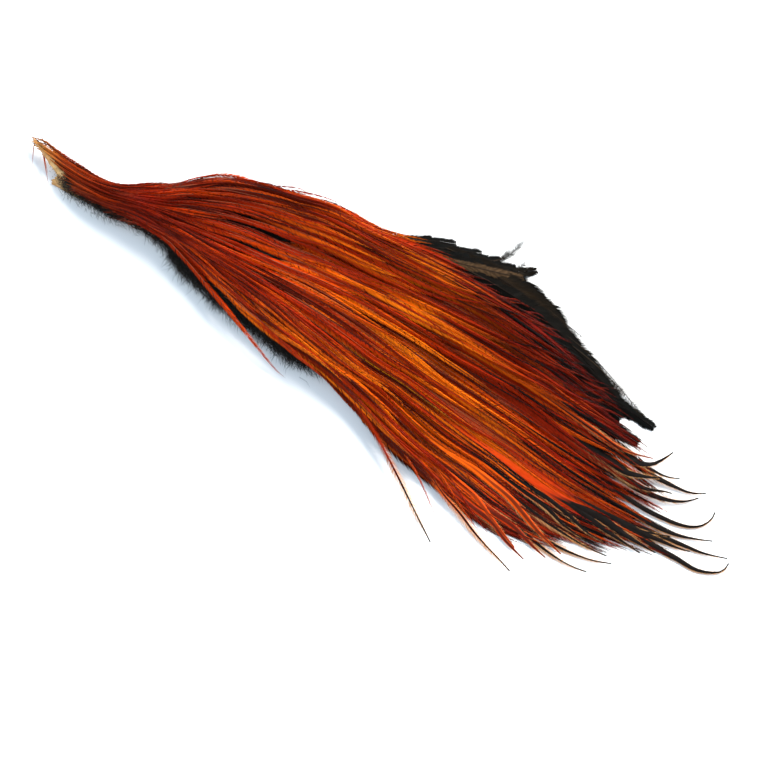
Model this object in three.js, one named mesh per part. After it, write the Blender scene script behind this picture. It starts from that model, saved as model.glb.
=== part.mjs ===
// Rooster neck cape: the dried hide of a cock's neck with its hackle feathers on, lying flat with
// the feathers up. Millimetres, +Z up, the nape towards -X and the long feather tips towards +X.
// The origin is on the surface that the hide lies on, under the middle of the cape's outline.
import * as THREE from "three";

// Driving dimensions. "Along" and "across" are places on the cape: along is 0 at the nape and 1 at
// the tips, across is -1 at the -Y edge and +1 at the +Y edge.
const gap = 0.35; // clearance between one feather and what it lies on
const steepest = 0.55; // slope across a feather that lies on the edge of its neighbour
const tiltCost = 0.25; // a feather tilts only where each mm of tilt lowers it by more than this
const pileCell = 0.5; // grid of the height map that the feathers are laid on
const quillShare = 0.06; // the bare part of a feather's shaft, of its length
const stations = { hackle: 14, forHook: 6, shoulder: 19, across: 8, hideLong: 18, downLong: 40, downAcross: 12 };

const hide = {
  thickness: 1.2,
  arch: 3.6, // rise of its middle at the nape
  archEnd: 0.24, // along, where it has come down flat
  end: 0.52, // along, at the middle of its far end
  endCurve: 0.05, // how far the corners of the far end lie back
  halfWidth: 0.72, // across, past the neck
  narrows: [0.08, 0.3], // along, from the full width to halfWidth
  notch: 0.035, // depth of the notch cut into the nape end, along
  notchMiddle: -0.35, // across
  notchHalf: 0.65,
};

const down = {
  start: 0.05, // along
  end: 0.6,
  endCurve: 0.06,
  crown: 5.5, // height over the hide in the middle
  rim: 1.1, // and at the edges
  flattens: 0.7, // share of its length where the crown starts to go down
  farEdge: 0.84, // across, at the +Y edge
  nearEdge: [0.9, 1.28], // across, at the -Y edge of the nape and of the middle
  tuft: 0.9, // height of the tufts
  tuftsLong: 13,
  tuftReach: 0.05, // how far tufts stand out of the -Y edge, across
  leastThickness: 0.4,
};

const hackle = {
  count: 32,
  width: 8.6,
  napeWidth: 3.6,
  fullWidthFrom: 0.4, // root along, from where hackles have the full width
  thickness: 1.4,
  hollow: 0.5, // rise of the underside at the shaft
  shaft: 1,
  firstRoot: 0.035, // along
  lastRoot: 0.5,
  napeLength: 0.17, // as a share of the cape's length
  tailLength: 0.49,
  rootReach: [0.7, 0.98], // outermost roots across, at the nape and past the neck
  fullness: 1.15, // the vane's outline is fullness * (1 - t) ** taper, past the quill
  taper: 0.62,
  hookStart: 0.76, // where a hooked tip starts to turn, of the feather's length
  tipWidth: 0.35, // of the least width, at the very tip
};

const shoulder = {
  thickness: 0.9,
  hollow: 0.3,
  shaft: 1.2,
  splitFrom: 0.45, // the vane has splits from here to the tip
  splitEvery: 3, // stations from one split to the next
  splitWidth: 0.76,
};

// The flow of the feathers, seen from above: six lines from the nape to the tips, from the edge
// at -Y (across = -1) to the edge at +Y (across = +1).
const flowLines = [
  [[-120, -13], [-98, -15], [-82, -14], [-60, -16], [-32, -20], [-7, -24], [14, -30], [36, -41], [56, -50]],
  [[-121, -11], [-99, -13], [-81, -12], [-55, -13], [-20, -17], [10, -23], [40, -33], [66, -38], [90, -35]],
  [[-126, -8], [-100, -11.5], [-82, -10], [-56, -10], [-21, -10], [15, -13], [50, -17], [83, -20], [118, -16]],
  [[-129, -6], [-102, -9], [-83, -6], [-59, -1], [-24, 5], [13, 6], [50, 5], [79, 3], [116, 0]],
  [[-131, -5], [-103, -6.5], [-86, 0], [-71, 8], [-42, 17], [-2, 20], [35, 21], [70, 18], [104, 12]],
  [
    [-133, -3], [-110, -4], [-98, -3], [-86, 5], [-76, 14], [-62, 22],
    [-42, 26], [-13, 28], [25, 31], [60, 30], [88, 22],
  ],
];

// Hackles whose tips stand clear of the others at the fringe: where the tip ends, the feather's
// length as a share of the cape's, how far the tip hooks towards +Y, in degrees, and its width as
// a share of the others'
const fringe = [
  { tip: [-13, -29.5], length: 0.36, slim: 0.5 },
  { tip: [0, -26.5], length: 0.34, slim: 0.6 },
  { tip: [54, -49.4], length: 0.46, slim: 0.6 },
  { tip: [57, -46], length: 0.46, slim: 0.8 },
  { tip: [79, -45.5], length: 0.46, slim: 0.7, hook: -6 },
  { tip: [81, -39.5], length: 0.44, hook: 6 },
  { tip: [99, -33], length: 0.46, hook: 8 },
  { tip: [103, -27], length: 0.46, hook: 12 },
  { tip: [113, -17], length: 0.47 },
  { tip: [133, -7], length: 0.5, hook: 62 },
  { tip: [131, -8], length: 0.49, hook: 8 },
  { tip: [125.5, -4], length: 0.48 },
  { tip: [122, 4], length: 0.47, hook: 60 },
  { tip: [116.5, 8.5], length: 0.46, hook: 22 },
  { tip: [115, 5], length: 0.47, hook: 36 },
  { tip: [107.5, 8.5], length: 0.45, hook: 10 },
  { tip: [102, 14.5], length: 0.45, hook: 52 },
];

// Broad dark feathers of the shoulder, under the hackles at the +Y edge: where each leaves the hide,
// its tip, the way the tip points in degrees from +X, and its width
const shoulderFeathers = [
  { root: [0.32, 0.42], tip: [15, 43], points: 34, width: 10 },
  { root: [0.36, 0.5], tip: [26, 48.5], points: 38, width: 10 },
  { root: [0.4, 0.6], tip: [36, 48.7], points: 34, width: 10 },
  { root: [0.42, 0.5], tip: [38, 42], points: 22, width: 12 },
  { root: [0.46, 0.6], tip: [57, 31.5], points: -12, width: 12 },
  { root: [0.5, 0.6], tip: [67, 25.5], points: -20, width: 12 },
  { root: [0.52, 0.5], tip: [80, 19], points: -24, width: 12 },
  { root: [0.54, 0.4], tip: [89, 15], points: -22, width: 12 },
  { root: [0.55, 0.28], tip: [91, 9], points: -14, width: 12 },
];

const { smoothstep: smooth, lerp, clamp, degToRad } = THREE.MathUtils;
const goldenStep = (Math.sqrt(5) - 1) / 2;

// Places on the cape
const flowCurves = flowLines.map(
  (line) => new THREE.CatmullRomCurve3(line.map(([x, y]) => new THREE.Vector3(x, y, 0))),
);

function placeOnLine(curve, along) {
  const inside = clamp(along, 0, 1);
  const beyond = (along - inside) * curve.getLength();
  return curve.getPointAt(inside).addScaledVector(curve.getTangentAt(inside), beyond);
}

function place(along, across) {
  const row = new THREE.CatmullRomCurve3(flowCurves.map((curve) => placeOnLine(curve, along)));
  const inside = clamp(across, -1, 1);
  const t = (inside + 1) / 2;
  const span = row.getTangent(t).multiplyScalar(row.getLength() / 2);
  return row.getPoint(t).addScaledVector(span, across - inside);
}

// The place on the cape, [along, across], of a point on the ground, by an ever finer search
function nearestPlace(x, y) {
  const farthest = { along: 1.12, across: -1.5 };
  const target = new THREE.Vector3(x, y, 0);
  const miss = (spot) => place(...spot).distanceTo(target);
  const steps = [-2, -1, 0, 1, 2];
  let best = [1, 0];
  for (let step = 0.16; step > 0.002; step /= 2) {
    const around = steps.flatMap((i) =>
      steps.map((j) => [
        clamp(best[0] + i * step, 0, farthest.along),
        clamp(best[1] + 2 * j * step, farthest.across, 1),
      ]),
    );
    best = around.reduce((nearest, spot) => (miss(spot) < miss(nearest) ? spot : nearest), best);
  }
  return best;
}

// The pile: the height that has been reached so far over each small square of the ground
const pile = new Map();
const sampleStep = 0.6 * pileCell; // close enough to miss no square
const cellOf = (x, y) => Math.floor(x / pileCell) * 4096 + Math.floor(y / pileCell);
const heightAt = (x, y) => pile.get(cellOf(x, y)) ?? 0;
const samplesOver = (length) => Math.ceil(length / sampleStep) + 1;

function cover(x, y, z) {
  if (z > heightAt(x, y)) pile.set(cellOf(x, y), z);
}

// Calls visit(point, t, side) all over the strip between two stations of a feather, t from 0 to 1
// along the stretch and side from -1 to +1 across it
function overStretch(from, to, visit) {
  const long = samplesOver(from.centre.distanceTo(to.centre));
  const wide = samplesOver(2 * Math.max(from.half, to.half));
  for (let i = 0; i <= long; i++)
    for (let j = 0; j <= wide; j++) {
      const t = i / long;
      const side = (2 * j) / wide - 1;
      const a = from.centre.clone().addScaledVector(from.left, side * from.half);
      const b = to.centre.clone().addScaledVector(to.left, side * to.half);
      visit(a.lerp(b, t), t, side);
    }
}

// How each station of a feather lies: z, the height of its underside, and roll, its rise from the
// middle to the left edge. It lies on the pile like a shingle, one edge on its neighbour, and it
// bridges the hollows as a springy quill does.
function settle(row, stiffness = 60, sag = 0.06) {
  const bumps = row.map(() => []);
  for (let i = 0; i + 1 < row.length; i++)
    overStretch(row[i], row[i + 1], (p, t, side) => {
      const bump = { side, top: heightAt(p.x, p.y) + gap };
      bumps[i].push(bump);
      bumps[i + 1].push(bump);
    });
  const clearance = (i, roll) => bumps[i].reduce((z, { side, top }) => Math.max(z, top - roll * side), gap);
  let rolls = row.map(({ half }, i) => {
    const tries = [-1, -0.75, -0.5, -0.25, 0, 0.25, 0.5, 0.75, 1].map((share) => share * steepest * half);
    const cost = (roll) => clearance(i, roll) + tiltCost * Math.abs(roll);
    return tries.reduce((best, roll) => (cost(roll) < cost(best) ? roll : best), 0);
  });
  for (let pass = 0; pass < 4; pass++)
    rolls = rolls.map((roll, i) => (2 * roll + (rolls[i - 1] ?? roll) + (rolls[i + 1] ?? roll)) / 4);
  const least = rolls.map((roll, i) => clearance(i, roll));
  const z = [...least];
  for (let pass = 0; pass < stiffness; pass++)
    for (let i = 1; i + 1 < z.length; i++) z[i] = Math.max(least[i], (z[i - 1] + z[i + 1]) / 2 - sag);
  return z.map((height, i) => ({ z: height, roll: rolls[i] }));
}

function meshOf(points, faces) {
  const geometry = new THREE.BufferGeometry();
  const positions = points.flatMap((p) => [p.x, p.y, p.z]);
  geometry.setAttribute("position", new THREE.Float32BufferAttribute(positions, 3));
  geometry.setIndex(faces);
  return geometry;
}

// Closed solid through sections of four points: left edge, underside, right edge, ridge. The
// facets above and below are split along the same diagonal, so that a twisted vane keeps its
// thickness all over.
function vaneSolid(sections) {
  const faces = [];
  for (let i = 0; i + 1 < sections.length; i++)
    for (let j = 0; j < 4; j++) {
      const [a, b] = [4 * i + j, 4 * i + ((j + 1) % 4)];
      const [c, d] = [b + 4, a + 4];
      if (j < 2) faces.push(a, b, c, a, c, d);
      else faces.push(a, b, d, b, c, d);
    }
  const last = 4 * (sections.length - 1);
  faces.push(0, 3, 1, 1, 3, 2);
  faces.push(last, last + 1, last + 3, last + 1, last + 2, last + 3);
  return meshOf(sections.flat(), faces);
}

// One feather: vanes that slope down on both sides of the shaft, laid on the pile
function feather(centres, halfWidthAt, form) {
  const thinning = 0.55; // towards the tip
  const row = centres.map(({ point, t }, i) => {
    const before = centres[Math.max(i - 1, 0)].point;
    const after = centres[Math.min(i + 1, centres.length - 1)].point;
    const ahead = after.clone().sub(before).normalize();
    return { centre: point, left: new THREE.Vector3(-ahead.y, ahead.x, 0), half: halfWidthAt(t), t };
  });
  const lie = settle(row);
  const ridgeAt = (t) => form.thickness * (1 - thinning * smooth(t, 0.6, 1));
  const sections = row.map(({ centre, left, half, t }, i) => {
    const { z, roll } = lie[i];
    const at = (side, up) => centre.clone().addScaledVector(left, side * half).setZ(z + roll * side + up);
    const ridge = ridgeAt(t);
    return [at(-1, 0), at(0, Math.min(form.hollow, 0.4 * ridge)), at(1, 0), at(0, ridge)];
  });
  for (let i = 0; i + 1 < row.length; i++)
    overStretch(row[i], row[i + 1], (p, t, side) => {
      const ridge = lerp(ridgeAt(row[i].t), ridgeAt(row[i + 1].t), t);
      const z = lerp(lie[i].z + lie[i].roll * side, lie[i + 1].z + lie[i + 1].roll * side, t);
      cover(p.x, p.y, z + ridge * (1 - Math.abs(side)));
    });
  return vaneSolid(sections);
}

// A hackle is long and narrow, with a bare quill and a fine point. Those of the nape are smaller.
function hackleWidth({ root, slim = 1 }) {
  return slim * lerp(hackle.napeWidth, hackle.width, smooth(root, 0, hackle.fullWidthFrom));
}

function hackleForm(one) {
  const size = hackleWidth(one) / hackle.width;
  return { thickness: hackle.thickness * size, hollow: hackle.hollow * size };
}

function hackleHalfWidth(one) {
  return (t) => {
    const vane = hackle.fullness * smooth(t, quillShare, 0.3) * Math.pow(1 - t, hackle.taper);
    const narrowed = t > 0.99 ? hackle.tipWidth : 1;
    return Math.max((hackleWidth(one) / 2) * vane, hackle.shaft / 2) * narrowed;
  };
}

// The middle line of a hackle that follows the flow, with its tip hooked sideways. It keeps half
// its width inside the edge of the cape. A hooked one has its stations closer together at the tip.
function hackleLine({ root, end, across, tip, drift = 0, bow = 0, hook = 0, slim = 1 }) {
  const half = hackleWidth({ root, slim }) / 2;
  const hooked = Math.abs(hook) > 20;
  const count = stations.hackle + (hooked ? stations.forHook : 0);
  const flow = Array.from({ length: count }, (_, i) => {
    const even = i / (count - 1);
    const t = hooked ? lerp(even, 1 - (1 - even) ** 2, 0.7) : even;
    const along = lerp(root, end, t);
    const halfSpan = place(along, -1).distanceTo(place(along, 1)) / 2;
    const side = across + drift * t + bow * Math.sin(Math.PI * t);
    return { point: place(along, side * (1 - Math.min(0.6, half / halfSpan))), t };
  });
  const line = [flow[0]];
  const upright = new THREE.Vector3(0, 0, 1);
  for (let i = 1; i < count; i++) {
    const { point, t } = flow[i];
    const turned = smooth((flow[i - 1].t + t) / 2, hackle.hookStart, 1);
    const step = point.clone().sub(flow[i - 1].point).applyAxisAngle(upright, turned * degToRad(1.4 * hook));
    line.push({ point: step.add(line[i - 1].point), t });
  }
  if (!tip) return line;
  const miss = new THREE.Vector3(tip[0], tip[1], 0).sub(line[count - 1].point);
  return line.map(({ point, t }) => ({ point: point.clone().addScaledVector(miss, t * t), t }));
}

// Inner hackles, their roots spread evenly over the hide by the golden ratio, so that feathers side
// by side never lie at the same height
function innerHackle(i) {
  const t = i / (hackle.count - 1);
  const root = lerp(hackle.lastRoot, hackle.firstRoot, Math.pow(t, 1.2));
  const reach = lerp(...hackle.rootReach, smooth(root, 0, 0.2));
  const across = reach * (2 * ((i * goldenStep) % 1) - 1);
  const length = lerp(hackle.napeLength, hackle.tailLength, root / hackle.lastRoot);
  return { root, end: root + length, across, drift: 0.06 * Math.sin(i * 2.4), bow: 0.05 * Math.cos(i * 1.7) };
}

function fringeHackle({ tip, length, hook, slim }) {
  const [end, across] = nearestPlace(...tip);
  return { root: end - length, end, across, tip, hook, slim };
}

// A shoulder feather is broad to near its blunt end, where the vane is split
function shoulderHalfWidth(width, firstSplit) {
  return (t) => {
    const vane = smooth(t, quillShare, 0.35) * Math.sqrt(1 - Math.pow(t, 6));
    const station = Math.round(t * (stations.shoulder - 1));
    const split = t > shoulder.splitFrom && (station + firstSplit) % shoulder.splitEvery === 0;
    return Math.max((width / 2) * vane * (split ? shoulder.splitWidth : 1), shoulder.shaft / 2);
  };
}

// Its middle line, from the hide to the tip
function shoulderLine({ root, tip, points }) {
  const start = place(...root);
  const end = new THREE.Vector3(tip[0], tip[1], 0);
  const back = start.distanceTo(end) / 2;
  const middle = new THREE.Vector3(-Math.cos(degToRad(points)), -Math.sin(degToRad(points)), 0);
  middle.multiplyScalar(back).add(end);
  const spaced = new THREE.QuadraticBezierCurve3(start, middle, end).getSpacedPoints(stations.shoulder - 1);
  return spaced.map((point, i) => ({ point, t: i / (stations.shoulder - 1) }));
}

// Grid of points on the ground, each with its place on the cape
function groundGrid(long, wide, alongAt, acrossAt) {
  return Array.from({ length: long + 1 }, (_, i) =>
    Array.from({ length: wide + 1 }, (_, j) => {
      const [t, side] = [i / long, (2 * j) / wide - 1];
      const [along, across] = [alongAt(t, side), acrossAt(t, side)];
      return Object.assign(place(along, across), { along, across, side, t });
    }),
  );
}

// A closed sheet over such a grid, between two height functions
function sheet(grid, topAt, bottomAt) {
  const [rows, columns] = [grid.length, grid[0].length];
  const raised = (heightOf) => grid.flat().map((p) => new THREE.Vector3(p.x, p.y, heightOf(p)));
  const [top, bottom] = [raised(topAt), raised(bottomAt)];
  const faces = [];
  const quad = (a, b, c, d) => faces.push(a, b, c, a, c, d);
  const under = rows * columns;
  for (let i = 0; i + 1 < rows; i++)
    for (let j = 0; j + 1 < columns; j++) {
      const [a, b] = [i * columns + j, (i + 1) * columns + j];
      const [c, d] = [b + 1, a + 1];
      quad(a, b, c, d);
      faces.push(a + under, c + under, b + under, a + under, d + under, c + under);
      coverQuad(top[a], top[b], top[c], top[d]);
    }
  const rim = [
    ...Array.from({ length: rows - 1 }, (_, i) => i * columns),
    ...Array.from({ length: columns - 1 }, (_, j) => (rows - 1) * columns + j),
    ...Array.from({ length: rows - 1 }, (_, i) => (rows - i) * columns - 1),
    ...Array.from({ length: columns - 1 }, (_, j) => columns - 1 - j),
  ];
  rim.forEach((a, k) => {
    const b = rim[(k + 1) % rim.length];
    quad(a, a + under, b + under, b);
  });
  return meshOf([...top, ...bottom], faces);
}

function coverQuad(a, b, c, d) {
  const steps = samplesOver(Math.max(a.distanceTo(b), a.distanceTo(d)));
  const highest = Math.max(a.z, b.z, c.z, d.z);
  for (let i = 0; i <= steps; i++)
    for (let j = 0; j <= steps; j++) {
      const p = a.clone().lerp(b, i / steps).lerp(d.clone().lerp(c, i / steps), j / steps);
      cover(p.x, p.y, highest);
    }
}

// The hide is arched at the nape and flat from the shoulders on
const hideArch = (along) => hide.arch * (1 - smooth(along, 0, hide.archEnd));

function hideGeometry() {
  const notchAt = (side) => hide.notch * Math.max(0, 1 - Math.abs(side - hide.notchMiddle) / hide.notchHalf);
  const alongAt = (t, side) => lerp(notchAt(side), hide.end - hide.endCurve * side * side, t);
  const acrossAt = (t, side) => side * lerp(1, hide.halfWidth, smooth(t * hide.end, ...hide.narrows));
  const under = (p) => hideArch(p.along) * (1 - p.side * p.side);
  const top = (p) => under(p) + hide.thickness;
  return sheet(groundGrid(stations.hideLong, stations.across, alongAt, acrossAt), top, under);
}

// The down stands on the hide and past its edges in tufts
function downGeometry() {
  const tufts = (t) => Math.PI * 2 * down.tuftsLong * t;
  const flattened = (t) => smooth(t, down.flattens, 1);
  const alongAt = (t, side) => lerp(down.start, down.end, t) - down.endCurve * t * side * side;
  const nearEdge = (t) =>
    down.nearEdge[0] + (down.nearEdge[1] - down.nearEdge[0]) * smooth(t, 0.05, 0.3) * (1 - 0.8 * flattened(t));
  const acrossAt = (t, side) => side * (side > 0 ? down.farEdge : nearEdge(t) + down.tuftReach * Math.sin(tufts(t)));
  const under = (p) => hideArch(p.along) * (1 - Math.min(1, p.across * p.across)) + hide.thickness + gap;
  const crown = (p) => down.rim + (down.crown - down.rim) * (1 - p.side ** 4) * (1 - flattened(p.t));
  const tuft = (p) => down.tuft * Math.sin(tufts(p.t) + p.side * 7) * Math.cos(p.side * 9);
  const top = (p) => under(p) + smooth(p.t, -0.1, 0.3) * crown(p) + Math.max(down.leastThickness, tuft(p));
  return sheet(groundGrid(stations.downLong, stations.downAcross, alongAt, acrossAt), top, under);
}

const finish = (color, roughness) =>
  new THREE.MeshStandardMaterial({ color, roughness, metalness: 0, flatShading: true, side: THREE.FrontSide });
const materials = {
  hide: finish(0xc89a55, 0.7),
  down: finish(0x2b2622, 0.95),
  shoulder: finish(0x1c1713, 0.55),
  hackle: finish(0xa33208, 0.45),
};

const cape = new THREE.Group();
cape.name = "rooster_cape";

function add(name, geometry, material) {
  const mesh = new THREE.Mesh(geometry, material);
  mesh.name = name;
  cape.add(mesh);
}

const numbered = (name, i) => `${name}_${String(i + 1).padStart(2, "0")}`;

// Laid in order from the surface up
add("hide", hideGeometry(), materials.hide);
add("down", downGeometry(), materials.down);
shoulderFeathers.forEach((one, i) => {
  const solid = feather(shoulderLine(one), shoulderHalfWidth(one.width, i), shoulder);
  add(numbered("shoulder_feather", i), solid, materials.shoulder);
});
const hackles = [...Array.from({ length: hackle.count }, (_, i) => innerHackle(i)), ...fringe.map(fringeHackle)];
hackles.sort((a, b) => b.root - a.root);
hackles.forEach((one, i) => {
  const solid = feather(hackleLine(one), hackleHalfWidth(one), hackleForm(one));
  add(numbered("hackle", i), solid, materials.hackle);
});

export default cape;
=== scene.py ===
import bpy
import math
import numpy as np
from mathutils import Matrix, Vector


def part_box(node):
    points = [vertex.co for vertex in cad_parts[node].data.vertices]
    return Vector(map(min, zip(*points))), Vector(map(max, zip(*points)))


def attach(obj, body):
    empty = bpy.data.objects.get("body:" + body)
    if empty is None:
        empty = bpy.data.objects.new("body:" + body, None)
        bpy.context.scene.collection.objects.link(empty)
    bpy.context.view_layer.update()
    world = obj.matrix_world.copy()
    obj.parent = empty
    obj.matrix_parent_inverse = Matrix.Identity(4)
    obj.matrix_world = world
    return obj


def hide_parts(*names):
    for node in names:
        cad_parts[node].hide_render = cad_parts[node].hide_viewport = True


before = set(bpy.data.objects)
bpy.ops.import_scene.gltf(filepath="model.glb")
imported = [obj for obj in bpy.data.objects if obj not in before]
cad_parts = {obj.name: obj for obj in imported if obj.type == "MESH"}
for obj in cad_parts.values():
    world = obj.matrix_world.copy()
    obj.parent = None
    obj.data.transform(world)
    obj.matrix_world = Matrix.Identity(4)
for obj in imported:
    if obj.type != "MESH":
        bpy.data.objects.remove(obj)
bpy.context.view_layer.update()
mm = 0.001               # lengths below are in millimetres, and meshes are made in metres
golden = (math.sqrt(5) - 1) / 2
chance = np.random.default_rng(7)        # the one seeded source of all that is uneven


def smooth(x, low, high):
    t = np.clip((np.asarray(x, float) - low) / (high - low), 0, 1)
    return t * t * (3 - 2 * t)


def mix(a, b, t):
    return a + (b - a) * t


def runOf(path):
    # How far along a path each of its points lies
    return np.concatenate([[0], np.cumsum(np.linalg.norm(np.diff(path, axis=0), axis=1))])


def interpolate(s, stations, values):
    return np.stack([np.interp(s, stations, values[:, k]) for k in range(values.shape[1])], -1)


def uneven(span):
    # A value of chance, up to half the span to either side of 0
    return span * (chance.random() - 0.5)


def evenShare(i, span, start):
    # The i-th of places across the cape, spread evenly by the golden ratio
    return span * ((i * golden) % 1) + start


def headingOf(degrees):
    # The way that an angle from +X points, seen from above
    turn = math.radians(degrees)
    return np.array([math.cos(turn), math.sin(turn)])


# Camera, at the angle from which the cape was seen, and the width of the view at the cape
shot = {"azimuth": 33, "elevation": 65, "lens": 80, "sensor": 36, "frameWidth": 238, "target": (13, -15.5, 5)}


def makeCamera():
    a = math.radians(shot["azimuth"])
    e = math.radians(shot["elevation"])
    back = np.array([math.sin(a) * math.cos(e), -math.cos(a) * math.cos(e), math.sin(e)])
    distance = shot["frameWidth"] * shot["lens"] / shot["sensor"]
    data = bpy.data.cameras.new("camera")
    data.lens = shot["lens"]
    data.sensor_width = shot["sensor"]
    data.clip_start = 0.01
    data.clip_end = 20
    camera = bpy.data.objects.new("camera", data)
    camera.location = (np.array(shot["target"]) + back * distance) * mm
    camera.rotation_euler = (math.radians(90) - e, 0, a)
    bpy.context.collection.objects.link(camera)
    bpy.context.scene.camera = camera


# Soft light from the +Y side, where the far edge of the cape is, so that the shadow falls towards -Y
lights = [
    {"name": "windowLight", "at": (0.35, 0.75, 0.8), "size": 0.8, "power": 32, "colour": (1, 0.96, 0.9)},
    {"name": "fillLight", "at": (-0.6, -0.5, 0.9), "size": 0.8, "power": 6, "colour": (0.85, 0.93, 1)},
]
sky = {"colour": (0.66, 0.83, 1.0), "strength": 0.74}


def makeLights():
    for one in lights:
        data = bpy.data.lights.new(one["name"], "AREA")
        data.size = one["size"]
        data.energy = one["power"]
        data.color = one["colour"]
        lamp = bpy.data.objects.new(one["name"], data)
        lamp.location = one["at"]
        aim = -np.array(one["at"])
        tilt = math.atan2(math.hypot(aim[0], aim[1]), -aim[2])
        lamp.rotation_euler = (tilt, 0, math.atan2(-aim[0], aim[1]))
        bpy.context.collection.objects.link(lamp)
    world = bpy.data.worlds.new("sky")
    world.use_nodes = True
    background = world.node_tree.nodes["Background"]
    background.inputs["Color"].default_value = (*sky["colour"], 1)
    background.inputs["Strength"].default_value = sky["strength"]
    bpy.context.scene.world = world
    bpy.context.scene.view_settings.view_transform = "Standard"
    print("camera looks from", shot["azimuth"], shot["elevation"], "degrees, lights:", len(lights))


# The run of the feathers over the hide, seen from above: six lines from the nape to the tips, from
# the edge at -Y (across -1) to the edge at +Y (across 1)
flow = {
    "lines": [
        [(-120, -13), (-98, -15), (-82, -14), (-60, -16), (-32, -20), (-7, -24),
         (14, -30), (36, -41), (56, -50)],
        [(-121, -11), (-99, -13), (-81, -12), (-55, -13), (-20, -17), (10, -23),
         (40, -33), (66, -38), (90, -35)],
        [(-126, -8), (-100, -11.5), (-82, -10), (-56, -10), (-21, -10), (15, -13),
         (50, -17), (83, -20), (118, -16)],
        [(-129, -6), (-102, -9), (-83, -6), (-59, -1), (-24, 5), (13, 6),
         (50, 5), (79, 3), (116, 0)],
        [(-131, -5), (-103, -6.5), (-86, 0), (-71, 8), (-42, 17), (-2, 20),
         (35, 21), (70, 18), (104, 12)],
        [(-133, -3), (-110, -4), (-98, -3), (-86, 5), (-76, 14), (-62, 22), (-42, 26), (-13, 28),
         (25, 31), (60, 30), (88, 22)],
    ],
    "along": (-0.05, 1.2),            # the stretch of the table, a little past both ends
    "across": (-1.6, 1.3),
    "steps": (301, 146),
    "fine": 400,                      # points on a line, to measure its run
    "even": 200,                      # points at even steps of that run
}


def curveThrough(points, t):
    # Catmull-Rom through the points, t counting them from 0, straight on past both ends
    points = np.asarray(points, float)
    padded = np.concatenate([2 * points[:1] - points[1:2], points, 2 * points[-1:] - points[-2:-1]])
    t = np.asarray(t, float)
    inside = np.clip(t, 0, len(points) - 1)
    i = np.minimum(inside.astype(int), len(points) - 2)
    f = (inside - i).reshape(-1, *[1] * (points.ndim - 1))
    a, b, c, d = padded[i], padded[i + 1], padded[i + 2], padded[i + 3]
    at = 0.5 * (2 * b + (c - a) * f + (2 * a - 5 * b + 4 * c - d) * f**2 + (3 * b - a - 3 * c + d) * f**3)
    slope = 0.5 * ((c - a) + 2 * (2 * a - 5 * b + 4 * c - d) * f + 3 * (3 * b - a - 3 * c + d) * f**2)
    return at + slope * (t - inside).reshape(-1, *[1] * (points.ndim - 1))


def flowTable():
    along = np.linspace(*flow["along"], flow["steps"][0])
    across = np.linspace(*flow["across"], flow["steps"][1])
    lines = []
    for points in flow["lines"]:
        fine = curveThrough(points, np.linspace(0, len(points) - 1, flow["fine"]))
        run = runOf(fine)
        even = interpolate(np.linspace(0, run[-1], flow["even"]), run, fine)
        lines.append(curveThrough(even, along * (flow["even"] - 1)))
    rows = np.array(lines)                      # line, along, xy
    return curveThrough(rows, (across + 1) / 2 * (len(lines) - 1)).transpose(1, 0, 2)


table = flowTable()


def lookUp(values, u, v):
    # Value between the points of a grid, at row u and column v
    u = np.clip(u, 0, values.shape[0] - 1.001)
    v = np.clip(v, 0, values.shape[1] - 1.001)
    i = u.astype(int)
    j = v.astype(int)
    fu = u - i
    fv = v - j
    if values.ndim > 2:
        fu = fu[..., None]
        fv = fv[..., None]
    low = values[i, j] * (1 - fv) + values[i, j + 1] * fv
    high = values[i + 1, j] * (1 - fv) + values[i + 1, j + 1] * fv
    return low * (1 - fu) + high * fu


def place(along, across):
    along, across = np.broadcast_arrays(np.asarray(along, float), np.asarray(across, float))
    u = (along - flow["along"][0]) / (flow["along"][1] - flow["along"][0]) * (flow["steps"][0] - 1)
    v = (across - flow["across"][0]) / (flow["across"][1] - flow["across"][0]) * (flow["steps"][1] - 1)
    return lookUp(table, u, v)


def spotOf(x, y):
    # The place on the cape, along and across, of a point on the ground
    near = np.sum((table - np.array([x, y])) ** 2, axis=2)
    i, j = np.unravel_index(np.argmin(near), near.shape)
    along = mix(*flow["along"], i / (flow["steps"][0] - 1))
    across = mix(*flow["across"], j / (flow["steps"][1] - 1))
    return along, across


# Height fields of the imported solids, which the fine feathers are laid between: squares of the
# ground, and the points that each triangle of a solid is sampled at, so many to a side
ground = {"cell": 1.0, "low": (-160.0, -80.0), "size": (320, 160), "lattice": 13}


def topOf(names):
    # The highest point of the named solids over each square of the ground
    n = ground["lattice"]
    pairs = [(i / n, j / n) for i in range(n + 1) for j in range(n + 1 - i)]
    weights = np.array([(1 - a - b, a, b) for a, b in pairs])
    heights = np.zeros(ground["size"])
    for name in names:
        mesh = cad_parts[name].data
        mesh.calc_loop_triangles()
        co = np.zeros(len(mesh.vertices) * 3)
        mesh.vertices.foreach_get("co", co)
        index = np.zeros(len(mesh.loop_triangles) * 3, int)
        mesh.loop_triangles.foreach_get("vertices", index)
        corners = co.reshape(-1, 3)[index.reshape(-1, 3)] / mm
        spots = np.einsum("wk,tkc->twc", weights, corners).reshape(-1, 3)
        cells = np.floor((spots[:, :2] - ground["low"]) / ground["cell"]).astype(int)
        np.maximum.at(heights, (cells[:, 0], cells[:, 1]), spots[:, 2])
    return heights


def blurred(values, reach):
    span = np.arange(-3 * reach, 3 * reach + 1)
    kernel = np.exp(-0.5 * (span / reach) ** 2)
    kernel /= kernel.sum()
    for axis in range(2):
        values = np.apply_along_axis(lambda row: np.convolve(row, kernel, mode="same"), axis, values)
    return values


def softened(heights, reach):
    # Smoothed over the solids only, so that their edges keep their height
    covered = (heights > 0).astype(float)
    return blurred(heights, reach) / np.maximum(blurred(covered, reach), 0.02) * (blurred(covered, 1) > 0.01)


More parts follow.
